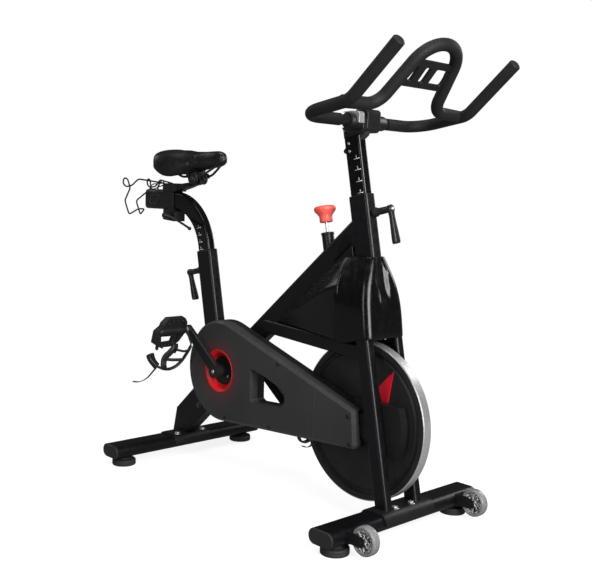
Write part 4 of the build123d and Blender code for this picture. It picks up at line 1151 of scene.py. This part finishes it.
def make_bar_clamp():
    """Top of the post: the clamp's barrel, block and necks, its bright cover and the webs under it."""
    x, z = 455, 1000
    side_plane = profile_plane(x, z)
    parts = []
    barrel = [(14, -74), (17.5, -73), (18.5, -70), (18.5, -46), (21, -45), (21, -12), (21, 30),
              (20, 31), (20, 56),
              (18.5, 57), (14, 58)]
    finished(lathe("bar_barrel", barrel, sideways(x, 0, z, -1), 56), PLASTIC, "handlebar", "clamp_black")
    block = [(-23, -26), (16, -26), (23, -18), (24, 24), (17, 31), (-17, 31), (-24, 24)]
    parts.append(rounded(prism("block", block, -42, 8, side_plane), 3.5, 3))
    saddle = [(-54, -18), (-24, -30), (14, -28), (22, -16), (18, 4), (-30, 4)]
    parts.append(rounded(prism("saddle", saddle, -20, 20, side_plane), 4.0, 3))
    finished(joined("bar_clamp", *parts), CLAMP, "handlebar", "clamp_black", "handlebar_clamp")
    web = [(-66, -12), (-30, -16), (-28, -42), (-42, -40)]
    front_web = [(-6, -24), (22, -24), (16, -34), (0, -46)]
    webs = [rounded(prism("web", web, -9, 9, side_plane), 3.0, 3)]
    webs.append(rounded(prism("front_web", front_web, -9, 9, side_plane), 3.0, 3))
    finished(joined("clamp_webs", *webs), PLASTIC_GREY, "handlebar", "clamp_black")
    cover = [(-30, 21.5), (-4, 24), (24, 22.5), (29, 18), (30, -6), (24.5, -6), (22, 6), (14, 15), (0, 20.3),
             (-16, 20)]
    cap = rounded(prism("clamp_cover", cover, 26, 45, side_plane), 0.8)
    finished(cap, SILVER, "handlebar", "bolt_steel")
    rings = []
    for height in (152, 164, 176):
        centre = leaning(*HEAD_MOUTH) @ Vector((0, 0, height))
        rings.append(ring(centre, AHEAD, LEFT, 26.4 * MM, 14.4 * MM, 48, 7.0))
    finished(loft("post_head", rings), POST, "handlebar", "post_paint")


def make_bar_details():
    """Domed ends of the grips, the bar clamp, and the bolts and the stop on the post."""
    direction = Vector((745 - 612, 0, 1141 - 1026)).normalized()
    for word, side in SIDES:
        end = at(745, side * 214, 1141) - direction * (0.5 * MM)
        across = direction.cross(LEFT)
        place = axes(end, across, direction.cross(across), direction)
        profile = [(14.4, -3), (15.0, -1.5), (14.6, 0.6), (12.4, 3.2), (8, 5.2), (0.5, 6)]
        dome = lathe(f"grip_dome_{word}", profile, place, 40)
        finished(dome, FOAM, "handlebar", "grip_foam")
    make_bar_clamp()
    bolts = []
    for height in (118, 98):
        place = leaning(*HEAD_MOUTH) @ Matrix.Translation((-9, -14.3, height + 17))
        rows = [(3.6, 0), (3.6, 1.4), (2.8, 2.2), (0.4, 2.3)]
        bolts.append(lathe("bolt", rows, place @ Matrix.Rotation(radians(90), 4, "X"), 20))
    stop = leaning(*HEAD_MOUTH) @ Matrix.Translation((-26, -4, 121)) @ Matrix.Rotation(radians(-90), 4, "Y")
    knob = lathe("post_stop", [(8, 0), (8, 3), (5.5, 4.5), (5.5, 8), (3, 10), (0.4, 10.4)], stop, 24)
    finished(knob, CLAMP, "handlebar", "clamp_black")
    finished(joined("post_bolts", *bolts), STEEL, "handlebar", "bolt_steel")


# ---------------------------------------------------------------- stage
def camera_only(nodes, links, shown, other, output):
    """Show one shader to the camera and light the object with another."""
    seen = nodes.new("ShaderNodeLightPath")
    blend = nodes.new("ShaderNodeMixShader")
    links.new(seen.outputs["Is Camera Ray"], blend.inputs[0])
    links.new(other, blend.inputs[1])
    links.new(shown, blend.inputs[2])
    links.new(blend.outputs[0], output)


def make_floor():
    """Pale floor that fades into the bright backdrop."""
    size = 40.0
    corners = [(-size, -size, 0), (size, -size, 0), (size, size, 0), (-size, size, 0)]
    floor = mesh_piece("floor", corners, [(0, 1, 2, 3)])
    finish = Finish("floor_paint", (0.80, 0.80, 0.80), 0.9, specular=0.0)
    finish.shader.inputs["Emission Color"].default_value = (1, 1, 1, 1)
    finish.shader.inputs["Emission Strength"].default_value = 0.62
    nodes, links = finish.nodes, finish.links
    radius = nodes.new("ShaderNodeVectorMath")
    radius.operation = "LENGTH"
    links.new(finish.place, radius.inputs[0])
    fade = finish.spread(radius.outputs["Value"], 0.55, 1.0, 0.7, 1.8)
    white = nodes.new("ShaderNodeEmission")
    white.inputs["Strength"].default_value = 1.0
    blend = nodes.new("ShaderNodeMixShader")
    links.new(fade, blend.inputs[0])
    links.new(finish.shader.outputs[0], blend.inputs[1])
    links.new(white.outputs[0], blend.inputs[2])
    grey = nodes.new("ShaderNodeEmission")
    grey.inputs["Strength"].default_value = 0.2
    camera_only(nodes, links, blend.outputs[0], grey.outputs[0], nodes["Material Output"].inputs["Surface"])
    floor.data.materials.append(finish.material)


def soft_light(name, place, target, width, height, power):
    light = bpy.data.lights.new(name, "AREA")
    light.shape = "RECTANGLE"
    light.size, light.size_y = width, height
    light.energy = power
    lamp = bpy.data.objects.new(name, light)
    bpy.context.scene.collection.objects.link(lamp)
    lamp.location = place
    lamp.rotation_mode = "QUATERNION"
    lamp.rotation_quaternion = (Vector(target) - Vector(place)).to_track_quat("-Z", "Y")


def make_lights():
    soft_light("front_box", (3.1, -0.75, 1.5), (0.2, 0, 0.6), 1.3, 2.4, 130)
    soft_light("right_strip", (0.9, -3.4, 1.6), (0.1, 0, 0.6), 0.5, 2.4, 28)
    soft_light("top", (0.1, -0.3, 3.4), (0.1, 0, 0.4), 2.4, 1.6, 34)
    soft_light("rear_strip", (-3.0, -1.2, 2.2), (0, 0, 0.6), 1.2, 1.6, 12)
    soft_light("left_fill", (0.6, 3.2, 1.8), (0, 0, 0.6), 1.5, 1.5, 35)
    world = bpy.data.worlds.new("studio")
    world.use_nodes = True
    nodes, links = world.node_tree.nodes, world.node_tree.links
    sky = nodes["Background"]
    sky.inputs["Color"].default_value = (1, 1, 1, 1)
    sky.inputs["Strength"].default_value = 0.055
    backdrop = nodes.new("ShaderNodeBackground")
    backdrop.inputs["Color"].default_value = (1, 1, 1, 1)
    backdrop.inputs["Strength"].default_value = 1.0
    camera_only(nodes, links, backdrop.outputs[0], sky.outputs[0], nodes["World Output"].inputs["Surface"])
    scene = bpy.context.scene
    scene.world = world
    scene.view_settings.view_transform = "Standard"


CAMERA_PLACE = (2006.06, -1684.27, 815.48)
CAMERA_YAW, CAMERA_PITCH, CAMERA_ROLL = 46.44, 6.25, 1.85
CAMERA_LENS, CAMERA_SENSOR = 55.19, 36.0


def make_camera():
    """Three-quarter view from the right of the front, a little above the seat."""
    yaw, pitch, roll = radians(CAMERA_YAW), radians(CAMERA_PITCH), radians(CAMERA_ROLL)
    back = Vector((sin(yaw) * cos(pitch), -cos(yaw) * cos(pitch), sin(pitch)))
    right = (-back).cross(UPRIGHT).normalized()
    up = right.cross(-back)
    tilted_right = right * cos(roll) + up * sin(roll)
    tilted_up = up * cos(roll) - right * sin(roll)
    camera = bpy.data.cameras.new("camera")
    camera.sensor_width = CAMERA_SENSOR
    camera.lens = CAMERA_LENS
    holder = bpy.data.objects.new("camera", camera)
    bpy.context.scene.collection.objects.link(holder)
    turn = Matrix((tilted_right, tilted_up, back)).transposed().to_4x4()
    holder.matrix_world = Matrix.Translation(at(*CAMERA_PLACE)) @ turn
    bpy.context.scene.camera = holder


make_camera()
make_lights()
make_floor()
dress_frame()
make_saddle()
make_cage()
make_arm_end()
make_shroud()
clamp_lever("seat_clamp_lever", SEAT_MOUTH, -53, -1, 50, radians(4), "seat_lever", "seat_lever")
clamp_lever("head_clamp_lever", HEAD_MOUTH, -47, 1, 46, radians(8), "handlebar_lever", "handlebar_lever")
make_slider_lever()
make_knob()
make_feet()
make_transport_wheels()
make_pedals()
make_crank_details()
make_guard_details()
make_guard_seam()
make_neck_gusset()
make_bolts()
make_flywheel_fin()
make_scale("head_scale", HEAD_MOUTH, (93, 65, 36, 7), "handlebar", 13)
make_scale("seat_scale", SEAT_MOUTH, (72, 50, 28, 6), "seat_post", -8)
make_bar_details()
